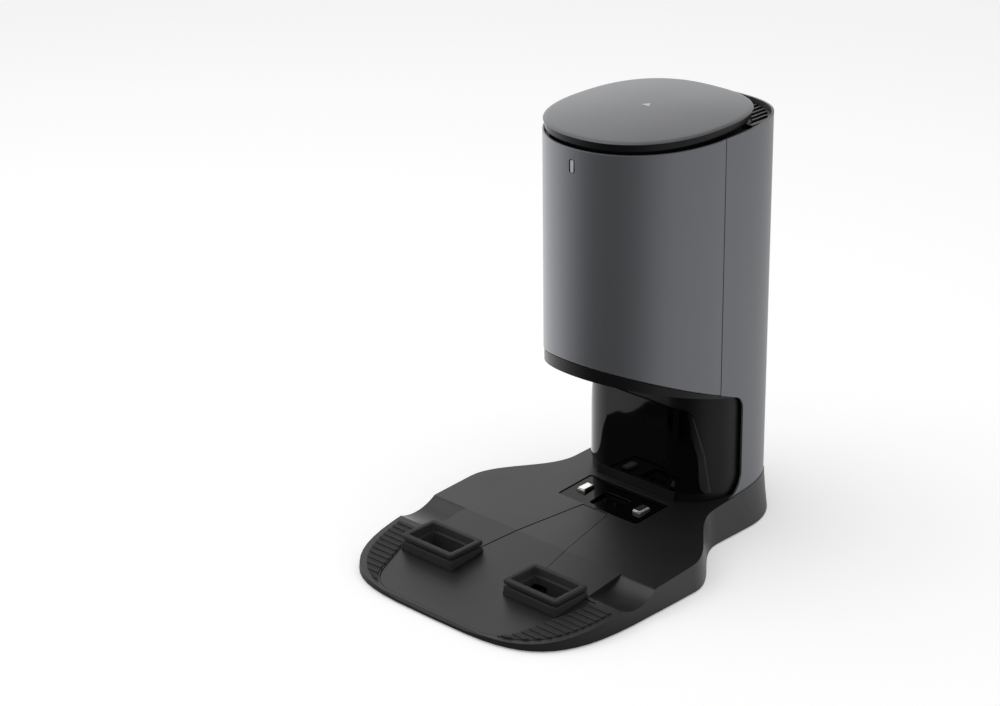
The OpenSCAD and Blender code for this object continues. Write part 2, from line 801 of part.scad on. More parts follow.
// Dark band under the shells' lower edge, with a lip that locates it inside them
module chin_band() {
    color([0.12, 0.12, 0.13]) intersection() {
        union() {
            difference() {
                tube(tower_line(0.8), tower_line(3), 100, brow_z + 10);
                under_ceiling(0);
                difference() {
                    block(-tower_w, tower_w, tower_y - 1, rear_y, 90, rim_z);
                    under_brow(-fit);
                }
            }
            difference() {
                tube(tower_line(shell_t + fit), tower_line(shell_t + fit + 2), 100, brow_z + 20);
                under_ceiling(soffit_t);
                difference() {
                    block(-tower_w, tower_w, tower_y - 1, rear_y, 90, rim_z);
                    under_brow(8);
                }
            }
        }
        block(-tower_w, tower_w, tower_y - 1, recess_y - 16, 0, rim_z);
    }
}

// ---------------------------------------------------------------- shells

light_z = rim_z - 18;
light_w = 5;
light_h = 13;

function pill(w, h) = rounded([[-w / 2, -h / 2, w / 2 - 0.01], [w / 2, -h / 2, w / 2 - 0.01],
    [w / 2, h / 2, w / 2 - 0.01], [-w / 2, h / 2, w / 2 - 0.01]], 6);

module shell_wall() {
    difference() {
        tube(tower_line(0), tower_line(shell_t), seat_z - 6, rim_z);
        recess_cut();
        under_deck(0);
    }
}

module front_shell() {
    color([0.29, 0.29, 0.3]) difference() {
        shell_wall();
        block(-tower_w, tower_w, split_y - seam_gap / 2, rear_y + 9, 0, rim_z + 9);
        translate([0, tower_y, light_z]) along_y(30, pill(light_w, light_h));
    }
}

inlet_x = 30;
inlet_z = 62;
inlet_w = 26;
inlet_h = 20;

module rear_shell() {
    color([0.29, 0.29, 0.3]) difference() {
        shell_wall();
        block(-tower_w, tower_w, tower_y - 9, split_y + seam_gap / 2, 0, rim_z + 9);
        translate([inlet_x, rear_y, inlet_z]) along_y(60, box_line(inlet_w + 2 * fit, inlet_h + 2 * fit, 3));
    }
}

// Small plain status light in the front shell, on its board
module indicator_light() {
    bay_y = seam_y - bay_front;
    color([0.9, 0.92, 0.95]) translate([0, tower_y + 2.6, light_z])
        along_y(4.6, pill(light_w - 2 * fit, light_h - 2 * fit));
    color([0.05, 0.3, 0.15]) {
        block(-9, 9, tower_y + 4.9, tower_y + 6.5, light_z - 11, light_z + 5);
        for (x = [-6, 6]) block(x - 1.5, x + 1.5, tower_y + 6.5, bay_y, light_z - 10, light_z - 6);
    }
}

// ---------------------------------------------------------------- top

vent_hw = tower_w / 2 - 14.5;

// Plan of the vent behind the lid, drawn in by t
module vent_plan(t) {
    difference() {
        intersection() {
            polygon(tower_line(shell_t + fit + t));
            translate([-vent_hw + t, hinge_y - 32 + t]) square([2 * (vent_hw - t), tower_rear]);
        }
        polygon(lid_line(6 - 0.5 - t));
        translate([-29 - t, 0]) square([58 + 2 * t, hinge_y + 6 + t]);
    }
}

// Plate that closes the tower round the bay's mouth
module top_deck() {
    color([0.08, 0.08, 0.08]) translate([0, 0, deck_top_z - top_deck_t])
        linear_extrude(top_deck_t) difference() {
            polygon(tower_line(shell_t + fit - 0.1));
            polygon(bay_line(-fit));
            vent_plan(2);
        }
}

// Collar that the lid closes over
module neck_ring() {
    color([0.05, 0.05, 0.05]) difference() {
        tube(lid_line(6), lid_line(9), deck_top_z, neck_z);
        block(-28.5, 28.5, hinge_y - 12, rear_y, deck_top_z - 1, neck_z + 1);
    }
}

// Slotted grille over the exhaust, behind the lid
module vent_grille() {
    pitch = 7;
    slot = 3.2;
    color([0.1, 0.1, 0.1]) difference() {
        translate([0, 0, deck_top_z]) linear_extrude(2.7) vent_plan(0);
        intersection() {
            translate([0, 0, deck_top_z - 1]) linear_extrude(6) vent_plan(2.6);
            for (x = [0:pitch:vent_hw - 6], x = [-x, x])
                block(x - slot / 2, x + slot / 2, seam_y, rear_y, deck_top_z - 1, rim_z + 2);
        }
    }
}

module exhaust_filter() {
    color([0.35, 0.36, 0.38]) translate([0, 0, deck_top_z - 7]) linear_extrude(7) vent_plan(2 + fit);
}

// Widths of the fixed knuckles, middle and sides, and where the lid's knuckles start
mid_w = 1.74 * knuckle_w;
side_w = 8;
lid_knuckle_x = mid_w / 2 + fit;

// Fixed half of the hinge
module hinge_bracket() {
    side_x = lid_knuckle_x + knuckle_w + fit;
    spans = [[-mid_w / 2, mid_w / 2], [side_x, side_x + side_w], [-side_x - side_w, -side_x]];
    back = hinge_y + knuckle_r - 0.8;
    color([0.06, 0.06, 0.06]) difference() {
        union() {
            block(-28, 28, hinge_y - 6, back, deck_top_z, hinge_z - knuckle_r - 1.5);
            for (s = spans) {
                block(s[0], s[1], hinge_y - knuckle_r, back, deck_top_z, hinge_z);
                translate([s[0], hinge_y, hinge_z]) rotate([0, 90, 0])
                    cylinder(r = knuckle_r, h = s[1] - s[0]);
            }
        }
        translate([-40, hinge_y, hinge_z]) rotate([0, 90, 0]) cylinder(r = pin_r + 0.02, h = 80);
    }
}

module hinge_pin() {
    reach = lid_knuckle_x + knuckle_w + fit + side_w;
    color([0.75, 0.75, 0.76]) translate([-reach, hinge_y, hinge_z]) rotate([0, 90, 0])
        cylinder(r = pin_r, h = 2 * reach);
}

// ---------------------------------------------------------------- lid

// Domed cover plate: rings that shrink towards the crown
module lid_plate() {
    n = 90;
    rings = 9;
    edge = lid_line(0);
    lower = lid_line(0.8);
    mid = [0, seam_y];
    function dome(k) = let (s = 1 - pow(k / rings, 1.3)) [for (p = edge) [
        p.x * s, mid.y + (p.y - mid.y) * s, lid_z + lid_t + lid_crown * (1 - s * s)]];
    pts = concat([for (p = lower) [p.x, p.y, lid_z]], [for (p = edge) [p.x, p.y, lid_z + 0.8]],
        [for (k = [0:rings - 1]) each dome(k)], [[0, mid.y, lid_z + lid_t + lid_crown]]);
    bands = rings + 1;
    tip = len(pts) - 1;
    color([0.44, 0.45, 0.46]) polyhedron(points = pts, faces = concat(
        [[for (i = [0:n - 1]) i]],
        [for (b = [0:bands - 1], i = [0:n - 1]) let (j = (i + 1) % n)
            [b * n + i, (b + 1) * n + i, (b + 1) * n + j]],
        [for (b = [0:bands - 1], i = [0:n - 1]) let (j = (i + 1) % n)
            [b * n + i, (b + 1) * n + j, b * n + j]],
        [for (i = [0:n - 1]) [bands * n + i, tip, bands * n + (i + 1) % n]]));
}

// Dark tray under the plate, with the lid's hinge knuckles
module lid_skirt() {
    color([0.05, 0.05, 0.05]) difference() {
        union() {
            difference() {
                prism(lid_line(1.5), skirt_z, lid_z);
                prism(lid_line(4), skirt_z - 1, tray_z);
                block(-lid_w, lid_w, hinge_y - 4.5, rear_y, 0, total_z);
            }
            for (x = [lid_knuckle_x, -lid_knuckle_x - knuckle_w]) {
                block(x, x + knuckle_w, hinge_y - 8, hinge_y, hinge_z, lid_z);
                translate([x, hinge_y, hinge_z]) rotate([0, 90, 0]) cylinder(r = knuckle_r, h = knuckle_w);
            }
        }
        translate([-40, hinge_y, hinge_z]) rotate([0, 90, 0]) cylinder(r = pin_r + 0.04, h = 80);
    }
}

// Rubber lip under the lid that presses on the bay's flange
module lid_gasket() {
    color([0.12, 0.12, 0.12]) tube(bay_line(-2.6), bay_line(-0.4), deck_top_z + 2 + fit, tray_z);
}

// Small raised plain triangle that shows the lid's hinge side
module lid_mark() {
    y = seam_y - 2;
    color([0.7, 0.71, 0.72]) prism([[-5, y - 3], [5, y - 3], [0, y + 5]], total_z, total_z + 0.15);
}

// ---------------------------------------------------------------- bag bay

module bag_bay() {
    color([0.22, 0.22, 0.23]) difference() {
        union() {
            prism(bay_line(0), bay_z, deck_top_z);
            prism(bay_line(-3), deck_top_z, deck_top_z + 2);
        }
        prism(bay_line(bay_t), bay_z + bay_t, deck_top_z + 3);
        for (x = [-24:8:24]) translate([x, fan_y, 0])
            prism(box_line(4.5, 50, 2), bay_z - 1, bay_z + bay_t + 1);
        translate([riser_x, seam_y + bay_rear, riser_out_z]) rotate([90, 0, 0])
            cylinder(r = bag_port_r, h = 12, center = true);
    }
}

// Room between the holder's side and the bay's side
holder_room = 21;
holder_w = 2 * (bay_hw - riser_left - holder_room);
holder_h = 84;
holder_y = seam_y + bay_rear - bay_t - 2.8;
rail = 4;
collar_t = 2.2;
collar_w = holder_w - 2 * rail + 3;

// Frame on the bay's back wall, with rails for the bag's collar
module bag_holder() {
    slot_hw = collar_w / 2 + fit;
    mouth_hw = holder_w / 2 - rail;
    back = holder_y - 2;
    color([0.15, 0.3, 0.42]) translate([riser_x, 0, riser_out_z]) difference() {
        block(-holder_w / 2, holder_w / 2, back - collar_t - 2, holder_y, -holder_h / 2, holder_h / 2);
        block(-slot_hw, slot_hw, back - collar_t - 2 * fit, back, -holder_h / 2 + 3, holder_h);
        block(-mouth_hw, mouth_hw, back - collar_t - 3, back, -holder_h / 2 + 7, holder_h);
        translate([0, holder_y, 0]) rotate([90, 0, 0]) cylinder(r = bag_port_r, h = 20, center = true);
    }
}

// Stiff collar of the dust bag, with a pull tab
module bag_collar() {
    y = holder_y - 2 - fit;
    z0 = riser_out_z - holder_h / 2 + 3;
    color([0.75, 0.72, 0.62]) translate([riser_x, 0, 0]) difference() {
        union() {
            block(-collar_w / 2, collar_w / 2, y - collar_t, y, z0, riser_out_z + holder_h / 2 - 2);
            block(-14, 14, y - collar_t, y, z0, riser_out_z + holder_h / 2 + 12);
        }
        translate([0, y, riser_out_z]) rotate([90, 0, 0]) cylinder(r = bag_port_r - 1, h = 20, center = true);
        translate([0, y, riser_out_z + holder_h / 2 + 4]) along_y(20, box_line(18, 6, 2.5));
    }
}

// Dust bag, as a plain closed body
module dust_bag() {
    back = holder_y - 2 - fit - collar_t - 3;
    color([0.86, 0.86, 0.84]) {
        prism(egg(bay_hw - 7, bay_front - 9, 2.1, back - seam_y, 4), bay_z + bay_t + fit, deck_top_z - 18);
        translate([riser_x, back + 3, riser_out_z]) rotate([90, 0, 0]) difference() {
            cylinder(r = bag_port_r + 5, h = 3.5);
            translate([0, 0, -1]) cylinder(r = bag_port_r - 1, h = 3);
        }
    }
}

// ---------------------------------------------------------------- filter and fan

module at_fan(z) {
    translate([0, fan_y, z]) children();
}

module filter_housing() {
    color([0.28, 0.28, 0.29]) at_fan(filter_z) difference() {
        union() {
            cylinder(r = fan_r, h = filter_h, $fn = 96);
            translate([0, 0, -collar_h]) cylinder(r = collar_r, h = collar_h + 1);
        }
        translate([0, 0, 3.5]) cylinder(r = fan_r - 2, h = filter_h, $fn = 96);
        translate([0, 0, 2]) cylinder(r = fan_r - 5, h = filter_h, $fn = 96);
        translate([0, 0, -collar_h - 1]) cylinder(r = collar_r - 2, h = filter_h);
    }
}

module pre_filter() {
    color([0.3, 0.45, 0.6]) at_fan(filter_z + 3.5)
        cylinder(r = fan_r - 2 - fit, h = filter_h - 3.5 - fit, $fn = 96);
}

// Rubber sleeve between the filter's outlet and the fan's eye
module inlet_boot() {
    color([0.1, 0.1, 0.1]) at_fan(cap_z) {
        ring(collar_r + boot_t, collar_r, filter_z - cap_z);
        for (z = [collar_h + 4:5:filter_z - cap_z - collar_h - 6]) translate([0, 0, z])
            ring(collar_r + boot_t + 1.5, collar_r + 0.5, 2);
    }
}

module motor_cap() {
    color([0.2, 0.2, 0.21]) at_fan(cup_z) difference() {
        union() {
            cylinder(r = fan_r, h = cap_h, $fn = 96);
            translate([0, 0, cap_h]) cylinder(r = collar_r, h = collar_h);
        }
        translate([0, 0, -1]) cylinder(r = fan_r - 2, h = cap_h - 1, $fn = 96);
        cylinder(r = collar_r - 3, h = cap_h + collar_h + 1);
    }
}

// Lower half of the fan housing, on three posts, with outlet windows
module motor_cup() {
    post_r = 4;
    post_at = fan_r - 8;
    color([0.2, 0.2, 0.21]) difference() {
        union() {
            at_fan(fan_z) cylinder(r = fan_r, h = cup_h, $fn = 96);
            for (a = [90, 210, 330]) at_fan(seat_z - 10) rotate([0, 0, a]) translate([post_at, 0, 0])
                cylinder(r = post_r, h = fan_z - seat_z + 11);
        }
        at_fan(fan_z + 2.5) cylinder(r = fan_r - 2, h = cup_h, $fn = 96);
        at_fan(fan_z - 1) cylinder(r = 8, h = 6);
        for (a = [30:60:330]) at_fan(fan_z + 18) rotate([0, 0, a])
            translate([fan_r - 5, -7, 0]) cube([10, 14, 16]);
        under_deck(0);
    }
}

isolator_h = 11.5;
can_z = fan_z + 2.5 + isolator_h;
can_h = 44;
bearing_r = 8;
bearing_h = 5;
plate_t = 6;
plate_z = can_z + can_h;
hub_z = plate_z + plate_t;

module motor_isolator() {
    color([0.1, 0.1, 0.1]) at_fan(fan_z + 2.5) ring(motor_r + 2, motor_r - 8, isolator_h);
}

module motor_can() {
    color([0.55, 0.55, 0.57]) at_fan(can_z) difference() {
        cylinder(r = motor_r, h = can_h);
        translate([0, 0, plate_t]) cylinder(r = motor_r - 1.6, h = can_h);
        translate([0, 0, plate_t - bearing_h]) cylinder(r = bearing_r, h = can_h);
        translate([0, 0, -1]) cylinder(r = bearing_r - 2, h = can_h);
    }
}

// Plate that closes the motor and carries it in the fan housing
module motor_end_plate() {
    color([0.5, 0.5, 0.52]) at_fan(plate_z) difference() {
        union() {
            cylinder(r = motor_r, h = plate_t);
            translate([0, 0, plate_t - 2]) cylinder(r = fan_r - 2 - fit / 2, h = 2, $fn = 96);
        }
        translate([0, 0, -1]) cylinder(r = bearing_r, h = bearing_h + 1);
        cylinder(r = bearing_r - 2, h = plate_t + 1);
        for (a = [0:45:315]) rotate([0, 0, a]) translate([(fan_r + motor_r) / 2, 0, 0])
            cylinder(r = 5, h = plate_t + 1);
    }
}

module stator() {
    color([0.6, 0.35, 0.2]) at_fan(can_z + plate_t + 3) ring(motor_r - 1.6, motor_r - 6, can_h - plate_t - 8);
}

module bearings() {
    color([0.75, 0.75, 0.77]) for (z = [can_z + plate_t - bearing_h, plate_z]) at_fan(z)
        ring(bearing_r, shaft_r + run_gap, bearing_h);
}

module armature() {
    color([0.45, 0.3, 0.2]) at_fan(can_z + plate_t + 5) ring(motor_r - 7, shaft_r, can_h - plate_t - 12);
}

module motor_shaft() {
    color([0.8, 0.8, 0.82]) at_fan(can_z) cylinder(r = shaft_r, h = hub_z + 18 - can_z);
}

module impeller() {
    color([0.7, 0.7, 0.68]) at_fan(hub_z + 1) difference() {
        union() {
            cylinder(r = impeller_r, h = 1.6, $fn = 96);
            cylinder(r = 7, h = 16);
            for (i = [0:blades - 1]) rotate([0, 0, 360 * i / blades]) translate([12, 0, 0])
                rotate([0, 0, -25]) translate([-6, -0.7, 0]) cube([impeller_r - 10, 1.4, 15]);
        }
        translate([0, 0, -1]) cylinder(r = shaft_r, h = 20);
        difference() {
            translate([0, 0, -1]) cylinder(r = impeller_r + 20, h = 20);
            translate([0, 0, -2]) cylinder(r = impeller_r, h = 30, $fn = 96);
        }
    }
}

// ---------------------------------------------------------------- electrics

board_x = liner_hw - liner_t - 10;
board_y = liner_y + liner_r + 6;
board_z = 60;
board_h = 64;

// Upright circuit board beside the fan, on posts from the liner's side wall (s is the side)
module board(s) {
    wall_x = liner_hw - liner_t;
    block(s > 0 ? board_x : -board_x - board_t, s > 0 ? board_x + board_t : -board_x,
        board_y - 18, board_y + 20, board_z, board_z + board_h);
    for (z = [board_z + 6, board_z + board_h - 6])
        block(s > 0 ? board_x : -wall_x, s > 0 ? wall_x : -board_x, board_y - 3, board_y + 3, z - 3, z + 3);
}

module control_board() {
    color([0.05, 0.3, 0.15]) board(1);
    color([0.1, 0.1, 0.1]) for (z = [14, 28, 44]) block(board_x - 3, board_x, board_y - 8, board_y + 4,
        board_z + z, board_z + z + 10);
}

module power_board() {
    color([0.05, 0.3, 0.15]) board(-1);
    color([0.25, 0.2, 0.1])
        block(-board_x, -board_x + 14, board_y - 14, board_y + 6, board_z + 4, board_z + 22);
    color([0.1, 0.1, 0.3]) for (z = [46, 58]) translate([-board_x, board_y - 8, board_z + z])
        rotate([0, 90, 0]) cylinder(r = 5, h = 16);
}

// Route whose inner corners are eased with short curves that start at the distance r
function eased(pts, r, steps = 4) = [for (i = [0:len(pts) - 1])
    each i == 0 || i == len(pts) - 1 ? [pts[i]] : let (
        p = pts[i] + r * (pts[i - 1] - pts[i]) / norm(pts[i - 1] - pts[i]),
        q = pts[i] + r * (pts[i + 1] - pts[i]) / norm(pts[i + 1] - pts[i]))
        [for (k = [0:steps]) let (t = k / steps) p * pow(1 - t, 2) + pts[i] * 2 * t * (1 - t) + q * t * t]];

// Round lead of radius r swept along a route
module lead(r, pts) {
    sides = 8;
    route = eased(pts, 4);
    n = len(route);
    up = [0.48, 0.6, 0.64];
    rings = [for (i = [0:n - 1], k = [0:sides - 1]) let (
        d = route[min(i + 1, n - 1)] - route[max(i - 1, 0)],
        u = cross(d, up) / norm(cross(d, up)),
        v = cross(d / norm(d), u),
        b = 360 * k / sides)
        route[i] + r * (cos(b) * u + sin(b) * v)];
    last = (n - 1) * sides;
    polyhedron(points = rings, faces = concat(
        [[for (k = [sides - 1:-1:0]) k]], [[for (k = [0:sides - 1]) last + k]],
        [for (i = [0:n - 2], k = [0:sides - 1]) let (m = (k + 1) % sides)
            [i * sides + k, (i + 1) * sides + m, (i + 1) * sides + k]],
        [for (i = [0:n - 2], k = [0:sides - 1]) let (m = (k + 1) % sides)
            [i * sides + k, i * sides + m, (i + 1) * sides + m]]));
}

lead_r = 1.5;
lead_x = board_x - 12;
lead_y = board_y + 8;

// Lead from the charging contacts, under the deck and up to the control board
module contact_lead() {
    z = (bracket_z + spring_z) / 2;
    up_z = board_z + 5;
    color([0.15, 0.15, 0.15]) lead(min(lead_r, bracket_t / 2), [[panel_w / 2 - 5, contact_y, z],
        [lead_x, contact_y, z], [lead_x, lead_y, z], [lead_x, lead_y, up_z], [board_x, lead_y, up_z]]);
}

// Lead from the power board through a window of the fan housing to the motor
module motor_lead() {
    z = board_z + 36;
    out = [-cos(30), sin(30)];
    near = [0, fan_y] + out * motor_r;
    far = [0, fan_y] + out * (fan_r + 22);
    start = min(far.y - 8, board_y + 14);
    color([0.5, 0.1, 0.1]) lead(lead_r, [[-board_x, start, z], [-board_x + 5, start, z],
        [far.x, far.y, z], [near.x, near.y, z]]);
}

// Two-pin power socket in the back
module power_inlet() {
    y1 = rear_y - 5;
    depth = 27;
    pocket = 16;
    color([0.08, 0.08, 0.08]) translate([inlet_x, 0, inlet_z]) {
        difference() {
            translate([0, y1 - depth / 2, 0]) along_y(depth, box_line(inlet_w, inlet_h, 3));
            translate([0, y1, 0]) along_y(2 * pocket, box_line(inlet_w - 6, inlet_h - 8, 5));
        }
        for (s = [-1, 1]) translate([s * 5, y1 - pocket - 0.5, 0]) rotate([-90, 0, 0])
            cylinder(r = 1.2, h = pocket - 2);
    }
}

switch_x = -38;
switch_y = seam_y + bay_rear + 8;
plunger_r = 1.8;

// Micro-switch that senses the closed lid
module lid_switch() {
    color([0.15, 0.15, 0.5]) translate([switch_x, switch_y, 0]) difference() {
        block(-6, 6, -3, 3, deck_top_z, deck_top_z + 6);
        translate([0, 0, deck_top_z + 1]) cylinder(r = plunger_r + 0.1, h = 10);
    }
}

module switch_plunger() {
    color([0.9, 0.2, 0.15]) translate([switch_x, switch_y, deck_top_z + 1 + 2.5]) cylinder(r = plunger_r,
        h = tray_z - fit - (deck_top_z + 3.5));
}

// ---------------------------------------------------------------- parts

base_cover();
bottom_cover();
rubber_feet();
base_screws();
ramp_inlay();
grip_pad_left();
grip_pad_right();
intake_seal_left();
intake_seal_right();
intake_duct();
riser_duct();
contact_panel();
contact_bracket();
contact_pad_left();
contact_pad_right();
contact_spring_left();
contact_spring_right();
dock_sensor();
dock_liner();
ir_window();
ir_board();
soffit();
chin_band();
front_shell();
rear_shell();
top_deck();
neck_ring();
vent_grille();
exhaust_filter();
hinge_bracket();
hinge_pin();
lid_plate();
lid_skirt();
lid_gasket();
lid_mark();
indicator_light();
bag_bay();
bag_holder();
bag_collar();
dust_bag();
filter_housing();
pre_filter();
inlet_boot();
motor_cap();
motor_cup();
motor_isolator();
motor_can();
motor_end_plate();
stator();
bearings();
armature();
motor_shaft();
impeller();
control_board();
power_board();
power_inlet();
lid_switch();
switch_plunger();
contact_lead();
motor_lead();
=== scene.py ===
"""Looks of an auto-empty docking station: lacquered shells, moulded plate, rubber frames,
dark glossy window, vent slats, fleece dust bag and the finishes of all inner parts."""
import json
import math

import bmesh
import bpy
from bpy.props import FloatProperty, FloatVectorProperty, IntProperty, PointerProperty
from mathutils import Matrix, Vector
from mathutils.geometry import delaunay_2d_cdt

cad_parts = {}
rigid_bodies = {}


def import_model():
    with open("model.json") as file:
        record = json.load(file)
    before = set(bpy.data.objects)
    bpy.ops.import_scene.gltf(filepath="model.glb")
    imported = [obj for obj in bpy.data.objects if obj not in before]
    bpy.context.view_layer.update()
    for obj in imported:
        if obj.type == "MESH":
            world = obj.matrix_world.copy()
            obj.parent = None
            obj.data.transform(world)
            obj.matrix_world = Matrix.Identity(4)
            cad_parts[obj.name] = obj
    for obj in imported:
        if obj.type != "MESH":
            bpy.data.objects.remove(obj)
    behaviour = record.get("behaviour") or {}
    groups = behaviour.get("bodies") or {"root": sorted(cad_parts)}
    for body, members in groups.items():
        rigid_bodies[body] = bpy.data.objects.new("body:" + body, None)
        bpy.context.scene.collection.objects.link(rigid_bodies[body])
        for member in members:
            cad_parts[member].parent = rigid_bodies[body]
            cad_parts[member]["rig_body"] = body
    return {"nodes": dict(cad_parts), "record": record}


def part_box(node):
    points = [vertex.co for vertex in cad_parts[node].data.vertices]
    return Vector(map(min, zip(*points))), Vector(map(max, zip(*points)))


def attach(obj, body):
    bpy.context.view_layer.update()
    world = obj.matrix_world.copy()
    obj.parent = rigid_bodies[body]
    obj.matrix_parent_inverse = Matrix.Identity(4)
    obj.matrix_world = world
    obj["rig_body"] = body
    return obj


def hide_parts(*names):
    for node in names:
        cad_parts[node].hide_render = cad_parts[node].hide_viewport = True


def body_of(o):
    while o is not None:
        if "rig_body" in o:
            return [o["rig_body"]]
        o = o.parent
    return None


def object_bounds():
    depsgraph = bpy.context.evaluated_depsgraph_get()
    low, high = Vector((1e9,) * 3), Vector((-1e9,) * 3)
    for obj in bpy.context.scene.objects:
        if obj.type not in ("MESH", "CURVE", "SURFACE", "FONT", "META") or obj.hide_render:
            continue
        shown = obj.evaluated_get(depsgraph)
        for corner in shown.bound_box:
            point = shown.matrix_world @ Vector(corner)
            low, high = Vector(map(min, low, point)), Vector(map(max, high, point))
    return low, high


bl_info = {
    "name": "Docking station looks",
    "version": (1, 0, 0),
    "blender": (4, 5, 0),
    "location": "3D View > Sidebar > Dock",
    "description": "Dresses the docking station's solids with finished pieces and materials",
    "category": "Object",
}

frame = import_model()
NODES = frame["nodes"]
CAD_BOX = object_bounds()
MM = 0.001


# ------------------------------------------------------------------ colours

def linear(hexa):
    """A colour written as sRGB hex, turned to the linear values that Blender uses, and opaque."""
    parts = [int(hexa[i:i + 2], 16) / 255 for i in (1, 3, 5)]
    return tuple(c / 12.92 if c <= 0.04045 else ((c + 0.055) / 1.055) ** 2.4 for c in parts) + (1.0,)


def shade(hexa, factor):
    """The hex colour made lighter or darker by a factor."""
    return "#" + "".join("%02x" % max(0, min(255, round(int(hexa[i:i + 2], 16) * factor)))
                         for i in (1, 3, 5))


# ------------------------------------------------------------------ material nodes

def add(tree, kind, settings=None, **links):
    """Adds one node, sets its properties and sockets, and links sockets by name or number."""
    node = tree.nodes.new(kind)
    for key, value in (settings or {}).items():
        if key in node.bl_rna.properties:
            setattr(node, key, value)
        else:
            node.inputs[int(key) if key.isdigit() else key].default_value = value
    for key, source in links.items():
        target = node.inputs[int(key[1:]) if key[0] == "i" and key[1:].isdigit() else key.replace("_", " ")]
        tree.links.new(source, target)
    return node


def fresh_tree(owner, output):
    """The emptied node tree of a material or world, with its output node."""
    owner.use_nodes = True
    owner.node_tree.nodes.clear()
    return owner.node_tree, add(owner.node_tree, output)


def new_material(name, base, **sockets):
    """A material with one Principled shader, and its Object coordinates in millimetres."""
    mat = bpy.data.materials.new(name)
    tree, out = fresh_tree(mat, "ShaderNodeOutputMaterial")
    shader = add(tree, "ShaderNodeBsdfPrincipled", {"Base Color": linear(base), **sockets})
    tree.links.new(shader.outputs[0], out.inputs[0])
    coords = add(tree, "ShaderNodeTexCoord")
    place = add(tree, "ShaderNodeMapping", {"Scale": (1000, 1000, 1000)}, Vector=coords.outputs["Object"])
    return mat, tree, shader, place.outputs[0]


def grain(tree, shader, mm, base, size, depth, tint, rough):
    """Fine noise of a given grain size in millimetres: bump, and a little colour and gloss change."""
    patch = 45                  # mm across, the soft patches in which the gloss varies
    noise = add(tree, "ShaderNodeTexNoise", {"Scale": 1 / size, "Detail": 2.0, "Roughness": 0.6},
                Vector=mm)
    if depth:
        bump = add(tree, "ShaderNodeBump", {"Distance": depth * MM}, Height=noise.outputs["Fac"])
        tree.links.new(bump.outputs[0], shader.inputs["Normal"])
    if tint:
        blend = add(tree, "ShaderNodeMix", {"data_type": "RGBA", "6": linear(shade(base, 1 - tint)),
                                            "7": linear(shade(base, 1 + tint))}, i0=noise.outputs["Fac"])
        tree.links.new(blend.outputs[2], shader.inputs["Base Color"])
    if rough:
        wide = add(tree, "ShaderNodeTexNoise", {"Scale": 1 / patch, "Detail": 3.0}, Vector=mm)
        value = shader.inputs["Roughness"].default_value
        spread = add(tree, "ShaderNodeMapRange", {"To Min": value - rough, "To Max": value + rough},
                     Value=wide.outputs["Fac"])
        tree.links.new(spread.outputs[0], shader.inputs["Roughness"])


def lacquered_abs(name, base, roughness, flake):
    """ABS sprayed with a metallic lacquer: a soft broad highlight, with fine flakes under a satin coat."""
    mat, tree, shader, mm = new_material(name, base, Metallic=0.72, Roughness=roughness,
                                         **{"Coat Weight": 0.12, "Coat Roughness": 0.28})
    flake_size = 0.5            # mm; real flakes are about 0.05 mm, drawn coarser so that they show faintly
    cloud = 30                  # mm across, the soft patches that spraying leaves
    cells = add(tree, "ShaderNodeTexVoronoi", {"Scale": 1 / flake_size}, Vector=mm)
    noise = add(tree, "ShaderNodeTexNoise", {"Scale": 1 / cloud, "Detail": 2.0}, Vector=mm)
    mixed = add(tree, "ShaderNodeMath", {"operation": "MULTIPLY_ADD", "1": 0.25},
                i0=noise.outputs["Fac"], i2=cells.outputs["Distance"])
    ramp = add(tree, "ShaderNodeMapRange", {"From Min": 0.1, "From Max": 1.0,
                                            "To Min": 1 - flake, "To Max": 1 + flake},
               Value=mixed.outputs[0])
    tint = add(tree, "ShaderNodeMix", {"data_type": "RGBA", "blend_type": "MULTIPLY", "0": 1.0,
                                       "6": linear(base)})
    tree.links.new(ramp.outputs[0], tint.inputs[7])
    tree.links.new(tint.outputs[2], shader.inputs["Base Color"])
    bump = add(tree, "ShaderNodeBump", {"Distance": 0.004 * MM}, Height=cells.outputs["Distance"])
    tree.links.new(bump.outputs[0], shader.inputs["Normal"])
    return mat


def moulded(name, base, roughness, size=0.5, depth=0.02, tint=0.1, rough=0.05, **sockets):
    """Injection-moulded plastic with a spark-eroded grain, so it gleams softly at a low angle."""
    mat, tree, shader, mm = new_material(name, base, Roughness=roughness, **sockets)
    grain(tree, shader, mm, base, size, depth, tint, rough)
    return mat


def plated(name, base, roughness, size=0.3, depth=0.003):
    """Polished or plated metal: a sharp reflection broken only by fine wiping marks."""
    mat, tree, shader, mm = new_material(name, base, Metallic=1.0, Roughness=roughness)
    grain(tree, shader, mm, base, size, depth, tint=0.04, rough=0.04)
    return mat


def turned_metal(name, base, roughness):
    """Turned or drawn steel: rings of fine tool marks along the axis."""
    mat, tree, shader, mm = new_material(name, base, Metallic=1.0, Roughness=roughness)
    wave = add(tree, "ShaderNodeTexWave", {"bands_direction": "Z", "Scale": 0.9, "Distortion": 1.2,
                                           "Detail": 3.0}, Vector=mm)
    bump = add(tree, "ShaderNodeBump", {"Distance": 0.01 * MM}, Height=wave.outputs["Fac"])
    tree.links.new(bump.outputs[0], shader.inputs["Normal"])
    return mat


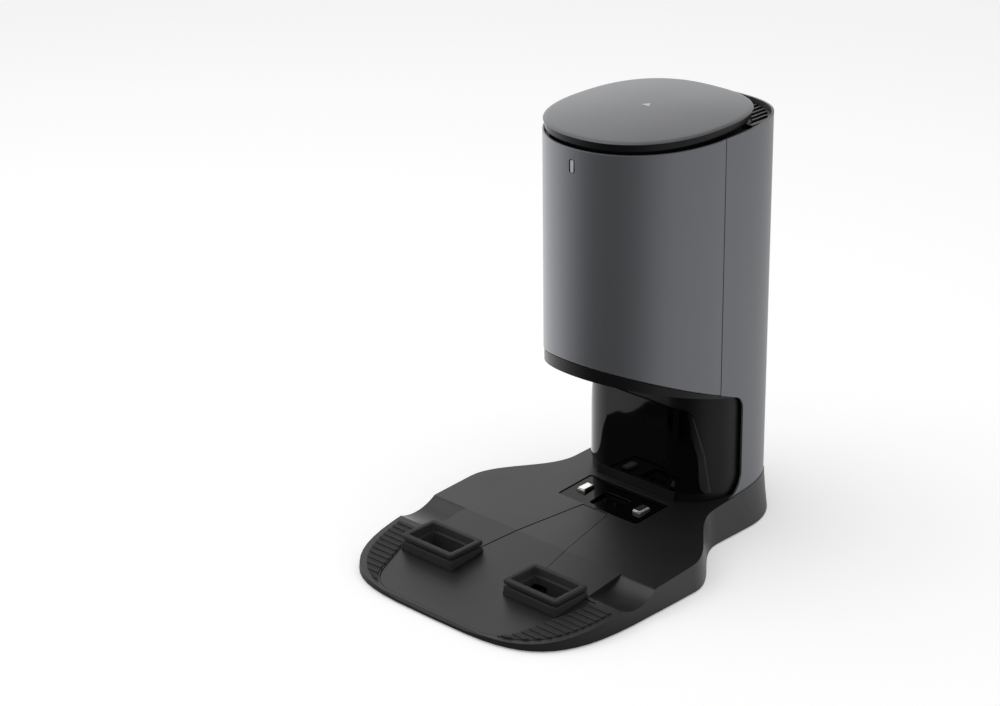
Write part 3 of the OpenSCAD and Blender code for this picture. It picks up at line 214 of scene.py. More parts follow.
def windings(name, base):
    """Enamelled copper wire laid in layers of 0.6 mm, under varnish, with painted shade in the grooves
    between the turns.
    """
    mat, tree, shader, mm = new_material(name, base, Metallic=0.8, Roughness=0.35,
                                         **{"Coat Weight": 0.5, "Coat Roughness": 0.15})
    wave = add(tree, "ShaderNodeTexWave", {"bands_direction": "Z", "Scale": 0.26, "Distortion": 0.4},
               Vector=mm)
    bump = add(tree, "ShaderNodeBump", {"Distance": 0.15 * MM}, Height=wave.outputs["Fac"])
    tree.links.new(bump.outputs[0], shader.inputs["Normal"])
    # painted shade: the wire's colour darkens towards the grooves between its turns, where the bump lies low
    tint = add(tree, "ShaderNodeMix", {"data_type": "RGBA", "6": linear(shade(base, 0.55)),
                                       "7": linear(base)}, i0=wave.outputs["Fac"])
    tree.links.new(tint.outputs[2], shader.inputs["Base Color"])
    return mat


def solder_mask(name, base):
    """Glass-fibre circuit board: green mask with lighter tracks 0.8 mm wide under it."""
    mat, tree, shader, mm = new_material(name, base, Roughness=0.32, **{"Coat Weight": 0.3})
    brick = add(tree, "ShaderNodeTexBrick", {"Scale": 0.16, "Mortar Size": 0.05, "Brick Width": 1.3,
                                             "Row Height": 0.35, "Color1": linear(base),
                                             "Color2": linear(shade(base, 0.8)),
                                             "Mortar": linear(shade(base, 1.5))}, Vector=mm)
    tree.links.new(brick.outputs["Color"], shader.inputs["Base Color"])
    bump = add(tree, "ShaderNodeBump", {"Distance": 0.03 * MM}, Height=brick.outputs["Fac"])
    tree.links.new(bump.outputs[0], shader.inputs["Normal"])
    return mat


def fleece(name, base):
    """Spun-bonded polypropylene fleece: matt fibres with pressed dots 1.6 mm apart."""
    mat, tree, shader, mm = new_material(name, base, Roughness=0.9,
                                         **{"Sheen Weight": 0.35, "Sheen Roughness": 0.5})
    dot_pitch, fibre = 1.6, 0.7
    dots = add(tree, "ShaderNodeTexVoronoi", {"Scale": 1 / dot_pitch, "Randomness": 0.15}, Vector=mm)
    fibres = add(tree, "ShaderNodeTexNoise", {"Scale": 1 / fibre, "Detail": 6.0, "Distortion": 2.0},
                 Vector=mm)
    height = add(tree, "ShaderNodeMath", {"operation": "MULTIPLY_ADD", "1": 0.8},
                 i0=fibres.outputs["Fac"], i2=dots.outputs["Distance"])
    bump = add(tree, "ShaderNodeBump", {"Distance": 0.25 * MM}, Height=height.outputs[0])
    tree.links.new(bump.outputs[0], shader.inputs["Normal"])
    tint = add(tree, "ShaderNodeMix", {"data_type": "RGBA", "6": linear(shade(base, 0.82)),
                                       "7": linear(base)}, i0=fibres.outputs["Fac"])
    tree.links.new(tint.outputs[2], shader.inputs["Base Color"])
    return mat


def open_foam(name, base):
    """Reticulated filter foam: open cells 1.8 mm across, their pits darkened with painted shade."""
    mat, tree, shader, mm = new_material(name, base, Roughness=0.95)
    cell = 1.8
    cells = add(tree, "ShaderNodeTexVoronoi", {"Scale": 1 / cell, "feature": "DISTANCE_TO_EDGE"},
                Vector=mm)
    ramp = add(tree, "ShaderNodeMapRange", {"From Max": 0.25}, Value=cells.outputs["Distance"])
    # painted shade: the colour darkens from the cell walls towards the middle of each pit
    tint = add(tree, "ShaderNodeMix", {"data_type": "RGBA", "6": linear(base),
                                       "7": linear(shade(base, 0.25))}, i0=ramp.outputs[0])
    tree.links.new(tint.outputs[2], shader.inputs["Base Color"])
    bump = add(tree, "ShaderNodeBump", {"Distance": 0.6 * MM, "invert": True}, Height=ramp.outputs[0])
    tree.links.new(bump.outputs[0], shader.inputs["Normal"])
    return mat


# what makes the material of each of the record's slots
FINISHES = {
    "shell_metallic": lambda: lacquered_abs("Gunmetal lacquer on ABS", "#67686c", 0.42, 0.04),
    "lid_metallic": lambda: lacquered_abs("Grey lacquer on ABS", "#5d5e61", 0.40, 0.04),
    "deck_plastic": lambda: moulded("Grained black ABS plate", "#161618", 0.42, depth=0.02),
    "dark_plastic": lambda: moulded("Black ABS, fine grain", "#0a0a0b", 0.36, size=0.35,
                                    **{"Specular IOR Level": 0.18}),
    "black_gloss": lambda: moulded("Black polycarbonate, polished", "#020202", 0.05, depth=0.0, tint=0.0,
                                   rough=0.02, **{"Specular IOR Level": 0.17}),
    "inner_plastic": lambda: moulded("Grey ABS, as moulded", "#38393b", 0.4, size=0.8, depth=0.01),
    "holder_plastic": lambda: moulded("Blue polypropylene, moulded", "#2d5a80", 0.38, size=0.8,
                                      depth=0.01),
    "rubber_black": lambda: moulded("Black EPDM rubber", "#1b1b1d", 0.72, size=0.4, depth=0.03, tint=0.15),
    "contact_metal": lambda: plated("Nickel-plated brass", "#d9d8d4", 0.16),
    "steel": lambda: turned_metal("Bright steel, turned", "#b9babd", 0.25),
    "aluminium_cast": lambda: plated("Die-cast aluminium", "#b4b5b6", 0.42, size=0.6, depth=0.03),
    "copper_windings": lambda: windings("Enamelled copper wire", "#b5652e"),
    "circuit_board": lambda: solder_mask("Green solder mask", "#1c6b3a"),
    "light_lens": lambda: moulded("Frosted polycarbonate lens", "#a9adb0", 0.35, depth=0.004, tint=0.03),
    "mark_plastic": lambda: moulded("Printed light grey ink", "#b9bbbc", 0.5, size=0.25, depth=0.004),
    "bag_fleece": lambda: fleece("Dust bag fleece", "#d9d8d2"),
    "collar_card": lambda: moulded("Pressed grey board", "#a99d84", 0.85, size=0.9, depth=0.05, tint=0.2),
    "filter_foam": lambda: open_foam("Reticulated foam", "#4a4e55"),
    "switch_red": lambda: moulded("Red acetal, moulded", "#b3261e", 0.3, depth=0.005),
}
made = {}


def finish(slot):
    """The material of one of the record's slots, made once."""
    if slot not in made:
        made[slot] = FINISHES[slot]()
    return made[slot]


# ------------------------------------------------------------------ mesh helpers

def smooth(mesh, angle):
    """Smooth shading, sharp only where faces meet at more than the angle."""
    mesh.shade_smooth()
    mesh.set_sharp_from_angle(angle=math.radians(angle))


def linked(data, name="scratch"):
    """An object of a mesh, lamp or camera, linked to the scene."""
    obj = bpy.data.objects.new(name, data)
    bpy.context.scene.collection.objects.link(obj)
    return obj


def settle(obj, body, nodes=()):
    """Hands a finished object to the frame."""
    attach(obj, body)
    if nodes:
        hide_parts(*nodes)


def piece(name, mesh, body, slot, nodes=()):
    """A finished piece: linked, given its material, riding on its body and standing for its CAD nodes."""
    mesh.materials.clear()
    mesh.materials.append(finish(slot))
    settle(linked(mesh, name), body, nodes)


def apply_modifiers(obj):
    """Turns the object's evaluated shape into its plain mesh and drops its modifiers."""
    deps = bpy.context.evaluated_depsgraph_get()
    deps.update()
    mesh = bpy.data.meshes.new_from_object(obj.evaluated_get(deps))
    obj.modifiers.clear()
    old, obj.data = obj.data, mesh
    bpy.data.meshes.remove(old)


def take_mesh(obj):
    """The finished mesh of a scratch object, which is removed."""
    apply_modifiers(obj)
    mesh = obj.data
    bpy.data.objects.remove(obj)
    return mesh


def round_edges(obj, width, segments, angle):
    """A bevel on all edges that turn by more than the angle."""
    bevel = obj.modifiers.new("edges", "BEVEL")
    bevel.width = width
    bevel.segments = segments
    bevel.limit_method = "ANGLE"
    bevel.angle_limit = math.radians(angle)
    bevel.harden_normals = True
    return bevel


def eased_copy(node, width, segments=2, angle=30, split=35, flats=False):
    """A merged copy of a CAD node with its edges rounded by a bevel of that width in millimetres."""
    merge, level = 0.004 * MM, 0.4      # distance of points, and degrees between faces, taken as one
    mesh = NODES[node].data.copy()
    mesh.name = node + "_eased"
    bm = bmesh.new()
    bm.from_mesh(mesh)
    bmesh.ops.remove_doubles(bm, verts=bm.verts, dist=merge)
    bmesh.ops.dissolve_limit(bm, angle_limit=math.radians(level), verts=bm.verts, edges=bm.edges)
    bm.to_mesh(mesh)
    bm.free()
    for layer in list(mesh.attributes):
        if layer.name == "custom_normal":
            mesh.attributes.remove(layer)
    obj = linked(mesh)
    round_edges(obj, width * MM, segments, angle).miter_outer = "MITER_ARC"
    mesh = take_mesh(obj)
    smooth(mesh, split)
    if flats:
        mark_creases(mesh)
    obj = linked(mesh)
    obj.modifiers.new("normals", "WEIGHTED_NORMAL").keep_sharp = True
    mesh = take_mesh(obj)
    return level_normals(mesh) if flats else mesh


def ease(node, width, slot, name=None, **settings):
    """Replaces a CAD node with its eased copy, on the same body."""
    piece(name or node + "_eased", eased_copy(node, width, **settings), body_of(NODES[node])[0], slot,
          [node])


LEVEL_FACE = 0.9                # a face whose normal has at least this much Z counts as level


def level_normals(mesh):
    """Gives each broad level face its own direction at every corner, so that it shades as a flat."""
    broad = 150 * MM ** 2
    normals = [Vector(n.vector) for n in mesh.corner_normals]
    for face in mesh.polygons:
        if face.area > broad and face.normal.z > LEVEL_FACE:
            for corner in face.loop_indices:
                normals[corner] = face.normal.copy()
    mesh.normals_split_custom_set(normals)
    return mesh


def mark_creases(mesh):
    """Marks the slight creases between broad, nearly level faces sharp, so that each stays flat."""
    broad, least_angle = 300 * MM ** 2, math.radians(1)
    bm = bmesh.new()
    bm.from_mesh(mesh)
    for edge in bm.edges:
        if len(edge.link_faces) == 2 and min(f.calc_area() for f in edge.link_faces) > broad \
                and min(f.normal.z for f in edge.link_faces) > LEVEL_FACE \
                and edge.calc_face_angle(0) > least_angle:
            edge.smooth = False
    bm.to_mesh(mesh)
    bm.free()


def spow(value, power):
    """A power that keeps the value's sign."""
    return math.copysign(abs(value) ** power, value)


class Outline:
    """A closed plan outline that can be asked for its point at a distance along it."""

    def __init__(self, points):
        self.points = [Vector(p) for p in points]
        self.at = [0.0]
        for a, b in zip(self.points, self.points[1:]):
            self.at.append(self.at[-1] + (b - a).length)

    def place(self, s):
        """The point at a distance along the outline."""
        lo, hi = 0, len(self.at) - 1
        while hi - lo > 1:
            mid = (lo + hi) // 2
            if self.at[mid] <= s:
                lo = mid
            else:
                hi = mid
        span = self.at[hi] - self.at[lo] or 1
        return self.points[lo].lerp(self.points[hi], (s - self.at[lo]) / span)


def egg(hw, front, n_front, rear, n_rear, seam, start, stop, steps):
    """Part of the tower's egg-shaped outline, from one angle to another, in metres."""
    line = []
    for i in range(steps + 1):
        t = math.radians(start + (stop - start) * i / steps)
        d, n = (rear, n_rear) if math.sin(t) > 0 else (front, n_front)
        line.append((hw * spow(math.cos(t), 2 / n), seam + d * spow(math.sin(t), 2 / n)))
    return line


def wrapped_sheet(name, outline, region, columns, thickness, edge, hole):
    """A wall cut from a flat region (distance along the outline, height) and bent round the outline."""
    past = 0.01                 # how far the columns run past the region
    merge = 1e-6
    verts, edges = [], []
    for loop in (region, hole):
        first = len(verts)
        verts += [Vector(p) for p in loop]
        edges += [(first + i, first + (i + 1) % len(loop)) for i in range(len(loop))]
    low = min(p[1] for p in region) - past
    high = max(p[1] for p in region) + past
    for s in columns:
        edges.append((len(verts), len(verts) + 1))
        verts += [Vector((s, low)), Vector((s, high))]
    points, _, faces, *_ = delaunay_2d_cdt(verts, edges, [], 3, 1e-7)
    bm = bmesh.new()
    flat = [bm.verts.new((p.x, p.y, 0)) for p in points]
    for face in faces:
        mid = sum((points[i] for i in face), Vector((0, 0))) / len(face)
        if inside(mid, region) and not inside(mid, hole):
            try:
                bm.faces.new([flat[i] for i in face])
            except ValueError:
                pass
    bmesh.ops.delete(bm, geom=[v for v in bm.verts if not v.link_faces], context="VERTS")
    for v in bm.verts:
        at = outline.place(v.co.x)
        v.co = Vector((at.x, at.y, v.co.y))
    bmesh.ops.remove_doubles(bm, verts=bm.verts, dist=merge)
    mesh = bpy.data.meshes.new(name)
    bm.to_mesh(mesh)
    bm.free()
    obj = linked(mesh)
    wall = obj.modifiers.new("wall", "SOLIDIFY")
    wall.thickness = thickness
    wall.offset = -1
    wall.use_even_offset = True
    round_edges(obj, edge, 2, 60)
    mesh = take_mesh(obj)
    smooth(mesh, 40)
    return mesh


def tower_normal(p):
    """Outward direction of the tower's outline at a point on it."""
    y = p.y - SEAM_Y
    d, n = (TOWER_REAR, REAR_N) if y > 0 else (TOWER_FRONT, FRONT_N)
    return Vector((math.copysign(abs(p.x / TOWER_HW) ** (n - 1) / TOWER_HW, p.x),
                   math.copysign(abs(y / d) ** (n - 1) / d, y), 0)).normalized()


def true_normals(mesh):
    """Gives the broad faces of a wrapped wall the outline's own normals, so reflections run smoothly."""
    square_on = 0.97            # faces that look this nearly outwards or inwards belong to the wall
    normals = [Vector(n.vector) for n in mesh.corner_normals]
    for face in mesh.polygons:
        side = face.normal.dot(tower_normal(face.center))
        if abs(side) > square_on:
            for corner in face.loop_indices:
                co = mesh.vertices[mesh.loops[corner].vertex_index].co
                normals[corner] = tower_normal(co) * math.copysign(1, side)
    mesh.normals_split_custom_set(normals)
    return mesh


def inside(p, loop):
    """Whether a flat point lies in a loop."""
    hit = False
    for (ax, ay), (bx, by) in zip(loop, loop[1:] + loop[:1]):
        if (ay > p.y) != (by > p.y) and p.x < (bx - ax) * (p.y - ay) / (by - ay) + ax:
            hit = not hit
    return hit


def loft(name, rings, capped=False):
    """Quads between rings of equally many points, which close on themselves or end in two caps."""
    bm = bmesh.new()
    rows = [[bm.verts.new(p) for p in ring] for ring in rings]
    n = len(rows[0])
    for a, b in zip(rows, rows[1:] if capped else rows[1:] + rows[:1]):
        for i in range(n):
            j = (i + 1) % n
            bm.faces.new((a[i], a[j], b[j], b[i]))
    if capped:
        bm.faces.new(rows[0][::-1])
        bm.faces.new(rows[-1])
    bmesh.ops.remove_doubles(bm, verts=bm.verts, dist=1e-7)
    bmesh.ops.recalc_face_normals(bm, faces=bm.faces)
    mesh = bpy.data.meshes.new(name)
    bm.to_mesh(mesh)
    bm.free()
    return mesh


def round_rect(w, d, r, n=6):
    """Rounded rectangle about the origin, in the units given."""
    line = []
    for cx, cy, a0 in ((w / 2 - r, d / 2 - r, 0), (-w / 2 + r, d / 2 - r, 90),
                       (-w / 2 + r, -d / 2 + r, 180), (w / 2 - r, -d / 2 + r, 270)):
        for i in range(n + 1):
            a = math.radians(a0 + 90 * i / n)
            line.append((cx + r * math.cos(a), cy + r * math.sin(a)))
    return line


# ------------------------------------------------------------------ places, from the frame

front_lo, front_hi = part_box("front_shell")
rear_lo, rear_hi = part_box("rear_shell")
SPLIT_Y = (front_hi.y + rear_lo.y) / 2      # where the two shells meet
SPLIT_BACK = 7 * MM                         # how far that lies behind the outline's widest place
SEAM_Y = SPLIT_Y - SPLIT_BACK
TOWER_HW = front_hi.x
TOWER_FRONT = SEAM_Y - front_lo.y
TOWER_REAR = rear_hi.y - SEAM_Y
FRONT_N = 2.1                               # squareness of the outline, 2 for an ellipse
REAR_N = 3.1
RIM_Z = front_hi.z
BROW_FALL = 0.4                             # slope of the shells' lower edge, which falls to the back
RECESS_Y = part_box("dock_liner")[1].y - 4 * MM
KNEE_Y = SEAM_Y - 152 * MM                  # where the ramp turns into the flatter deck
KNEE_Z = 25 * MM
SEAT_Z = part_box("base_cover")[1].z
# angle at which the outline passes the split between the shells
SPLIT_TURN = math.degrees(math.asin((SPLIT_BACK / TOWER_REAR) ** (REAR_N / 2)))
OUTLINE_STEPS = 720


def tower_line(start, stop):
    """The tower's outline from one angle to another."""
    return Outline(egg(TOWER_HW, TOWER_FRONT, FRONT_N, TOWER_REAR, REAR_N, SEAM_Y, start, stop,
                       OUTLINE_STEPS))


def brow(y):
    """Height of the shells' sloping lower edge."""
    return front_lo.z + BROW_FALL * (SPLIT_Y - y)


def deck(y):
    """Height of the plate's upper face between the ramp and the tower."""
    return KNEE_Z + (SEAT_Z - KNEE_Z) * max(0, min(1, (y - KNEE_Y) / (RECESS_Y - KNEE_Y)))


def arc(cx, cy, r, a0, a1, steps):
    """Points on a circular arc, angles in degrees."""
    return [(cx + r * math.cos(math.radians(a0 + (a1 - a0) * i / steps)),
             cy + r * math.sin(math.radians(a0 + (a1 - a0) * i / steps))) for i in range(steps + 1)]


# ------------------------------------------------------------------ user values

class DockSizes(bpy.types.PropertyGroup):
    shell_edge: FloatProperty(name="Shell edge", description="Radius on the shells' edges",
                              default=1.0 * MM, min=0.1 * MM, max=1.05 * MM, unit="LENGTH")
    lid_edge: FloatProperty(name="Lid edge", description="Width of the roll at the lid plate's rim",
                            default=5.0 * MM, min=1.0 * MM, max=6.0 * MM, unit="LENGTH")
    plate_edge: FloatProperty(name="Plate edge", description="Radius on the ramp plate's edges",
                              default=1.4 * MM, min=0.3 * MM, max=2.0 * MM, unit="LENGTH")
    slat_pitch: FloatProperty(name="Slat pitch", description="Distance between the vent's slots",
                              default=7 * MM, min=5 * MM, max=9 * MM, unit="LENGTH")
    bag_pleats: IntProperty(name="Bag pleats", description="Soft folds round the dust bag",
                            default=7, min=3, max=12)


class DockLight(bpy.types.PropertyGroup):
    floor: FloatVectorProperty(name="Floor", description="Colour of the floor", subtype="COLOR",
                               size=4, default=linear("#f2f2f2"), min=0, max=1)
    glow: FloatProperty(name="Floor glow", description="Light that the white floor adds for the eye",
                        default=0.27, min=0, max=1)
    room: FloatProperty(name="Room light", description="Soft light from all round",
                        default=0.62, min=0, max=1)
    key: FloatProperty(name="Key light", description="Power of the large lamp at the upper left",
                       default=10, min=0, max=200, unit="POWER")
    fill: FloatProperty(name="Fill light", description="Power of the lamp over the lid",
                        default=4, min=0, max=200, unit="POWER")


class DockOperator:
    bl_options = {"REGISTER", "UNDO"}

    def execute(self, context):
        self.build(context.scene.dock_sizes, context)
        return {"FINISHED"}


# ------------------------------------------------------------------ stage

VIEW_TURN, VIEW_TILT, VIEW_ROLL = 44.0027, 23.1857, -0.7099     # degrees
VIEW_AIM, VIEW_REACH = Vector((-0.15907, 0.04836, 0.14103)), 2.73032
LENS, SENSOR = 96.755, 36
FLOOR_REACH = 6.0
LAMP_SIZE = (1.6, 1.6)
KEY_AT, KEY_AIM = (-0.8, -0.4, 1.9), (0, 0.05, 0.1)
TOP_AT, TOP_AIM = (0.5, 0.5, 1.9), (0, 0.05, 0.2)
# heading in degrees of the wall that looks dim and of the one that looks bright, and their levels,
# against 1 for the others
DIM_HEADING, DIM_LEVEL = -73, 0.17
BRIGHT_HEADING, BRIGHT_LEVEL = 172, 1.8
CEILING_LEVEL = 0.33


def area_lamp(name, place, aim, power):
    """A square lamp that points at a spot."""
    data = bpy.data.lights.new(name, "AREA")
    data.shape = "RECTANGLE"
    data.size, data.size_y = LAMP_SIZE
    data.energy = power
    obj = linked(data, name)
    obj.location = place
    obj.rotation_euler = (Vector(aim) - Vector(place)).to_track_quat("-Z", "Y").to_euler()


class DOCK_OT_stage(DockOperator, bpy.types.Operator):
    """Camera, lamps, world and the white floor"""
    bl_idname = "dock.stage"
    bl_label = "Stage"

    def build(self, sizes, context):
        context.scene.view_settings.view_transform = "Standard"
        self.camera(context.scene)
        self.floor(context.scene.dock_light)
        self.walls(context.scene, context.scene.dock_light)
        area_lamp("key", KEY_AT, KEY_AIM, context.scene.dock_light.key)
        area_lamp("top", TOP_AT, TOP_AIM, context.scene.dock_light.fill)

    def camera(self, scene):
        """The camera, placed by its heading, tilt and roll round the spot it aims at."""
        turn, tilt, roll = (math.radians(a) for a in (VIEW_TURN, VIEW_TILT, VIEW_ROLL))
        back = Vector((math.sin(turn) * math.cos(tilt), -math.cos(turn) * math.cos(tilt), math.sin(tilt)))
        right = Vector((math.cos(turn), math.sin(turn), 0))
        up = back.cross(right)
        right, up = (math.cos(roll) * right + math.sin(roll) * up,
                     math.cos(roll) * up - math.sin(roll) * right)
        data = bpy.data.cameras.new("camera")
        data.lens = LENS
        data.sensor_width = SENSOR
        camera = linked(data, "camera")
        camera.matrix_world = (Matrix.Translation(VIEW_AIM + VIEW_REACH * back)
                               @ Matrix((right, up, back)).transposed().to_4x4())
        scene.camera = camera

    def floor(self, light):
        """White floor that takes the shadow, and shows the studio's light and dark walls in reflections."""
        mesh = bpy.data.meshes.new("floor")
        corners = ((-1, -1), (1, -1), (1, 1), (-1, 1))
        mesh.from_pydata([(x * FLOOR_REACH, y * FLOOR_REACH, 0) for x, y in corners], [], [(0, 1, 2, 3)])
        mat = bpy.data.materials.new("Seamless white paper")
        tree, out = fresh_tree(mat, "ShaderNodeOutputMaterial")
        place = add(tree, "ShaderNodeTexCoord").outputs["Object"]
        camera_ray, mirror_ray = seen_rays(tree)
        level = add(tree, "ShaderNodeMix", {"data_type": "FLOAT", "2": 1.0}, i0=mirror_ray,
                    i3=studio_level(tree, place)).outputs[0]
        white = add(tree, "ShaderNodeCombineXYZ", i0=level, i1=level, i2=level)
        tint = add(tree, "ShaderNodeMix", {"data_type": "RGBA", "blend_type": "MULTIPLY", "0": 1.0,
                                           "6": tuple(light.floor)}, i7=white.outputs[0])
        paper = add(tree, "ShaderNodeBsdfDiffuse", Color=tint.outputs[2])
        both = add(tree, "ShaderNodeMath", {"operation": "MAXIMUM"}, i0=camera_ray, i1=mirror_ray)
        power = add(tree, "ShaderNodeMath", {"operation": "MULTIPLY", "1": light.glow}, i0=both.outputs[0])
        power = add(tree, "ShaderNodeMath", {"operation": "MULTIPLY"}, i0=power.outputs[0], i1=level)
        glow = add(tree, "ShaderNodeEmission", {"Color": (1, 1, 1, 1)}, Strength=power.outputs[0])
        lit = add(tree, "ShaderNodeAddShader", i0=paper.outputs[0], i1=glow.outputs[0])
        tree.links.new(lit.outputs[0], out.inputs[0])
        mesh.materials.append(mat)
        linked(mesh, "floor")

    def walls(self, scene, light):
        """World that is white for the eye, softly bright on the object, and a studio in reflections."""
        scene.world = bpy.data.worlds.new("studio")
        tree, out = fresh_tree(scene.world, "ShaderNodeOutputWorld")
        direction = add(tree, "ShaderNodeTexCoord").outputs["Generated"]
        camera_ray, mirror_ray = seen_rays(tree)
        room = add(tree, "ShaderNodeMix", {"data_type": "FLOAT", "2": light.room}, i0=mirror_ray,
                   i3=studio_level(tree, direction)).outputs[0]
        strength = add(tree, "ShaderNodeMix", {"data_type": "FLOAT", "3": 1.0}, i0=camera_ray, i2=room)
        sky = add(tree, "ShaderNodeBackground", {"Color": (1, 1, 1, 1)}, Strength=strength.outputs[0])
        tree.links.new(sky.outputs[0], out.inputs[0])


def seen_rays(tree):
    """1 for rays from the camera, and 1 for reflections and rays through clear materials."""
    path = add(tree, "ShaderNodeLightPath")
    mirror = add(tree, "ShaderNodeMath", {"operation": "MAXIMUM"}, i0=path.outputs["Is Glossy Ray"],
                 i1=path.outputs["Is Transmission Ray"])
    return path.outputs["Is Camera Ray"], mirror.outputs[0]


def studio_level(tree, vector):
    """How bright the studio looks in a reflection: white walls, brighter at the left, dim in front.

    Headings are compared by the cosine of the angle between them, and heights by the sine of their
    elevation."""
    flat = add(tree, "ShaderNodeVectorMath", {"operation": "MULTIPLY", "1": (1, 1, 0)}, i0=vector)
    flat = add(tree, "ShaderNodeVectorMath", {"operation": "NORMALIZE"}, i0=flat.outputs[0])
    aim = add(tree, "ShaderNodeVectorMath", {"operation": "NORMALIZE"}, i0=vector)
    up = add(tree, "ShaderNodeSeparateXYZ", i0=aim.outputs[0]).outputs[2]

    def step(source, low, high, at_low, at_high):
        return add(tree, "ShaderNodeMapRange", {
            "interpolation_type": "SMOOTHSTEP", "From Min": low, "From Max": high, "To Min": at_low,
            "To Max": at_high}, Value=source).outputs[0]

    def sector(heading, low, high, at_high):
        toward = (math.cos(math.radians(heading)), math.sin(math.radians(heading)), 0)
        dot = add(tree, "ShaderNodeVectorMath", {"operation": "DOT_PRODUCT", "1": toward},
                  i0=flat.outputs[0])
        return step(dot.outputs["Value"], low, high, 1.0, at_high)

    def times(a, b):
        return add(tree, "ShaderNodeMath", {"operation": "MULTIPLY"}, i0=a, i1=b).outputs[0]

    # the dim part in front lies low, the walls above it are as white as the rest
    front = add(tree, "ShaderNodeMix", {"data_type": "FLOAT", "3": 1.0},
                i0=step(up, 0.02, 0.34, 0.0, 1.0),
                i2=sector(DIM_HEADING, 0.25, 1.0, DIM_LEVEL)).outputs[0]
    ceiling = step(up, 0.36, 0.72, 1.0, CEILING_LEVEL)
    return times(times(front, sector(BRIGHT_HEADING, 0.4, 1.0, BRIGHT_LEVEL)), ceiling)


# ------------------------------------------------------------------ finishes

class DOCK_OT_finishes(DockOperator, bpy.types.Operator):
    """Gives every carried-over solid the finish of its record slot"""
    bl_idname = "dock.finishes"
    bl_label = "Finishes"

    def build(self, sizes, context):
        for entry in frame["record"]["subparts"]:
            obj = NODES[entry["node"]]
            if not obj.material_slots:
                obj.data.materials.append(None)
            for place in obj.material_slots:
                place.material = finish(entry["material_slot"])


# ------------------------------------------------------------------ shells

class DOCK_OT_shells(DockOperator, bpy.types.Operator):
    """Front and rear shell of the tower, smooth round the outline, with rounded edges"""
    bl_idname = "dock.shells"
    bl_label = "Shells"

    WALL = 2.2 * MM
    GAP = 0.15 * MM             # from the split to each shell's edge
    COLUMNS = 120, 140          # upright lines that bend with the outline, in the front and rear shell
    LIGHT_HW, LIGHT_LOW, LIGHT_HIGH = 2.5 * MM, 12.7 * MM, 0.3 * MM     # slot, from the light's top
    INLET_ROOM, INLET_R = 0.3 * MM, 3 * MM      # clearance round the power inlet, and its hole's corners
    BROW_R, SEAT_R = 17 * MM, 22 * MM       # upper and lower corner of the recess

    def build(self, sizes, context):
        self.front(sizes.shell_edge)
        self.rear(sizes.shell_edge)

    def shell(self, node, outline, lower, columns, edge, hole):
        """One shell between its lower edge, given from end to end, and the rim."""
        total = outline.at[-1]
        region = lower + [(total - self.GAP, RIM_Z), (self.GAP, RIM_Z)]
        name = node + "_skin"
        mesh = wrapped_sheet(name, outline, region, columns, self.WALL, edge, hole)
        piece(name, true_normals(mesh), "station", "shell_metallic", [node])

    def front(self, edge):
        """From the left seam round the front to the right seam, with the light's slot."""
        outline = tower_line(180 - SPLIT_TURN, 360 + SPLIT_TURN)
        total, steps = outline.at[-1], self.COLUMNS[0]
        lower = [(total * i / steps, brow(outline.place(total * i / steps).y)) for i in range(steps + 1)]
        lower[0] = (self.GAP, brow(SPLIT_Y - self.GAP))
        lower[-1] = (total - self.GAP, brow(SPLIT_Y - self.GAP))
        top, hw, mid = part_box("indicator_light")[1].z, self.LIGHT_HW, total / 2
        hole = (arc(mid, top + self.LIGHT_HIGH - hw, hw, 0, 180, 10)
                + arc(mid, top - self.LIGHT_LOW + hw, hw, 180, 360, 10))
        columns = [total * i / steps for i in range(1, steps)]
        self.shell("front_shell", outline, lower, columns, edge, hole)

    def rear(self, edge):
        """From the right seam round the back to the left seam, open in front of the recess."""
        outline = tower_line(SPLIT_TURN, 180 - SPLIT_TURN)
        total, steps = outline.at[-1], self.COLUMNS[1]
        side = self.side(outline)
        lower = side + [(total - s, z) for s, z in reversed(side)]
        corner = self.at_y(outline, RECESS_Y)
        corners = [corner, total - corner]
        apart = 1.3 * MM        # narrower strips beside a corner would leave a slit
        columns = corners + [total * i / steps for i in range(1, steps)
                             if min(abs(total * i / steps - c) for c in corners) > apart]
        lo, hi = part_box("power_inlet")
        centre = (lo + hi) / 2
        middle = min((i for i, p in enumerate(outline.points) if p.y > SEAM_Y + TOWER_REAR / 2),
                     key=lambda i: abs(outline.points[i].x - centre.x))
        hole = [(outline.at[middle] + x, centre.z + z)
                for x, z in round_rect(hi.x - lo.x + 2 * self.INLET_ROOM, hi.z - lo.z + 2 * self.INLET_ROOM,
                                       self.INLET_R)]
        self.shell("rear_shell", outline, lower, columns, edge, hole)

    def side(self, outline):
        """Lower edge of the rear shell's right half: brow, recess corners, plate, middle of the back."""
        low = deck(RECESS_Y - self.SEAT_R)
        slope = math.degrees(math.atan(BROW_FALL))
        # arc tangent to the sloping brow and to the recess's upright back edge
        reach = self.BROW_R * math.tan(math.radians((90 - slope) / 2))
        path = [(SPLIT_Y + self.GAP, brow(SPLIT_Y + self.GAP))]
        path += arc(RECESS_Y - self.BROW_R, brow(RECESS_Y) - reach, self.BROW_R, 90 - slope, 0, 8)
        path += arc(RECESS_Y - self.SEAT_R, low + self.SEAT_R, self.SEAT_R, 0, -84, 10)
        path += [(RECESS_Y, deck(RECESS_Y))]
        spots = [(self.at_y(outline, y), z) for y, z in path]
        first = next(at for at, p in zip(outline.at, outline.points) if p.y >= RECESS_Y)
        half, steps = outline.at[-1] / 2, 40
        return spots + [(first + (half - first) * i / steps, SEAT_Z) for i in range(1, steps)]

    def at_y(self, outline, y):
        """Distance along the outline's right side at which it reaches that y."""
        for i, (a, b) in enumerate(zip(outline.points, outline.points[1:])):
            if a.y <= y <= b.y:
                return outline.at[i] + (outline.at[i + 1] - outline.at[i]) * (y - a.y) / (b.y - a.y)
        raise RuntimeError("the outline doesn't reach that far back")


# ------------------------------------------------------------------ lid

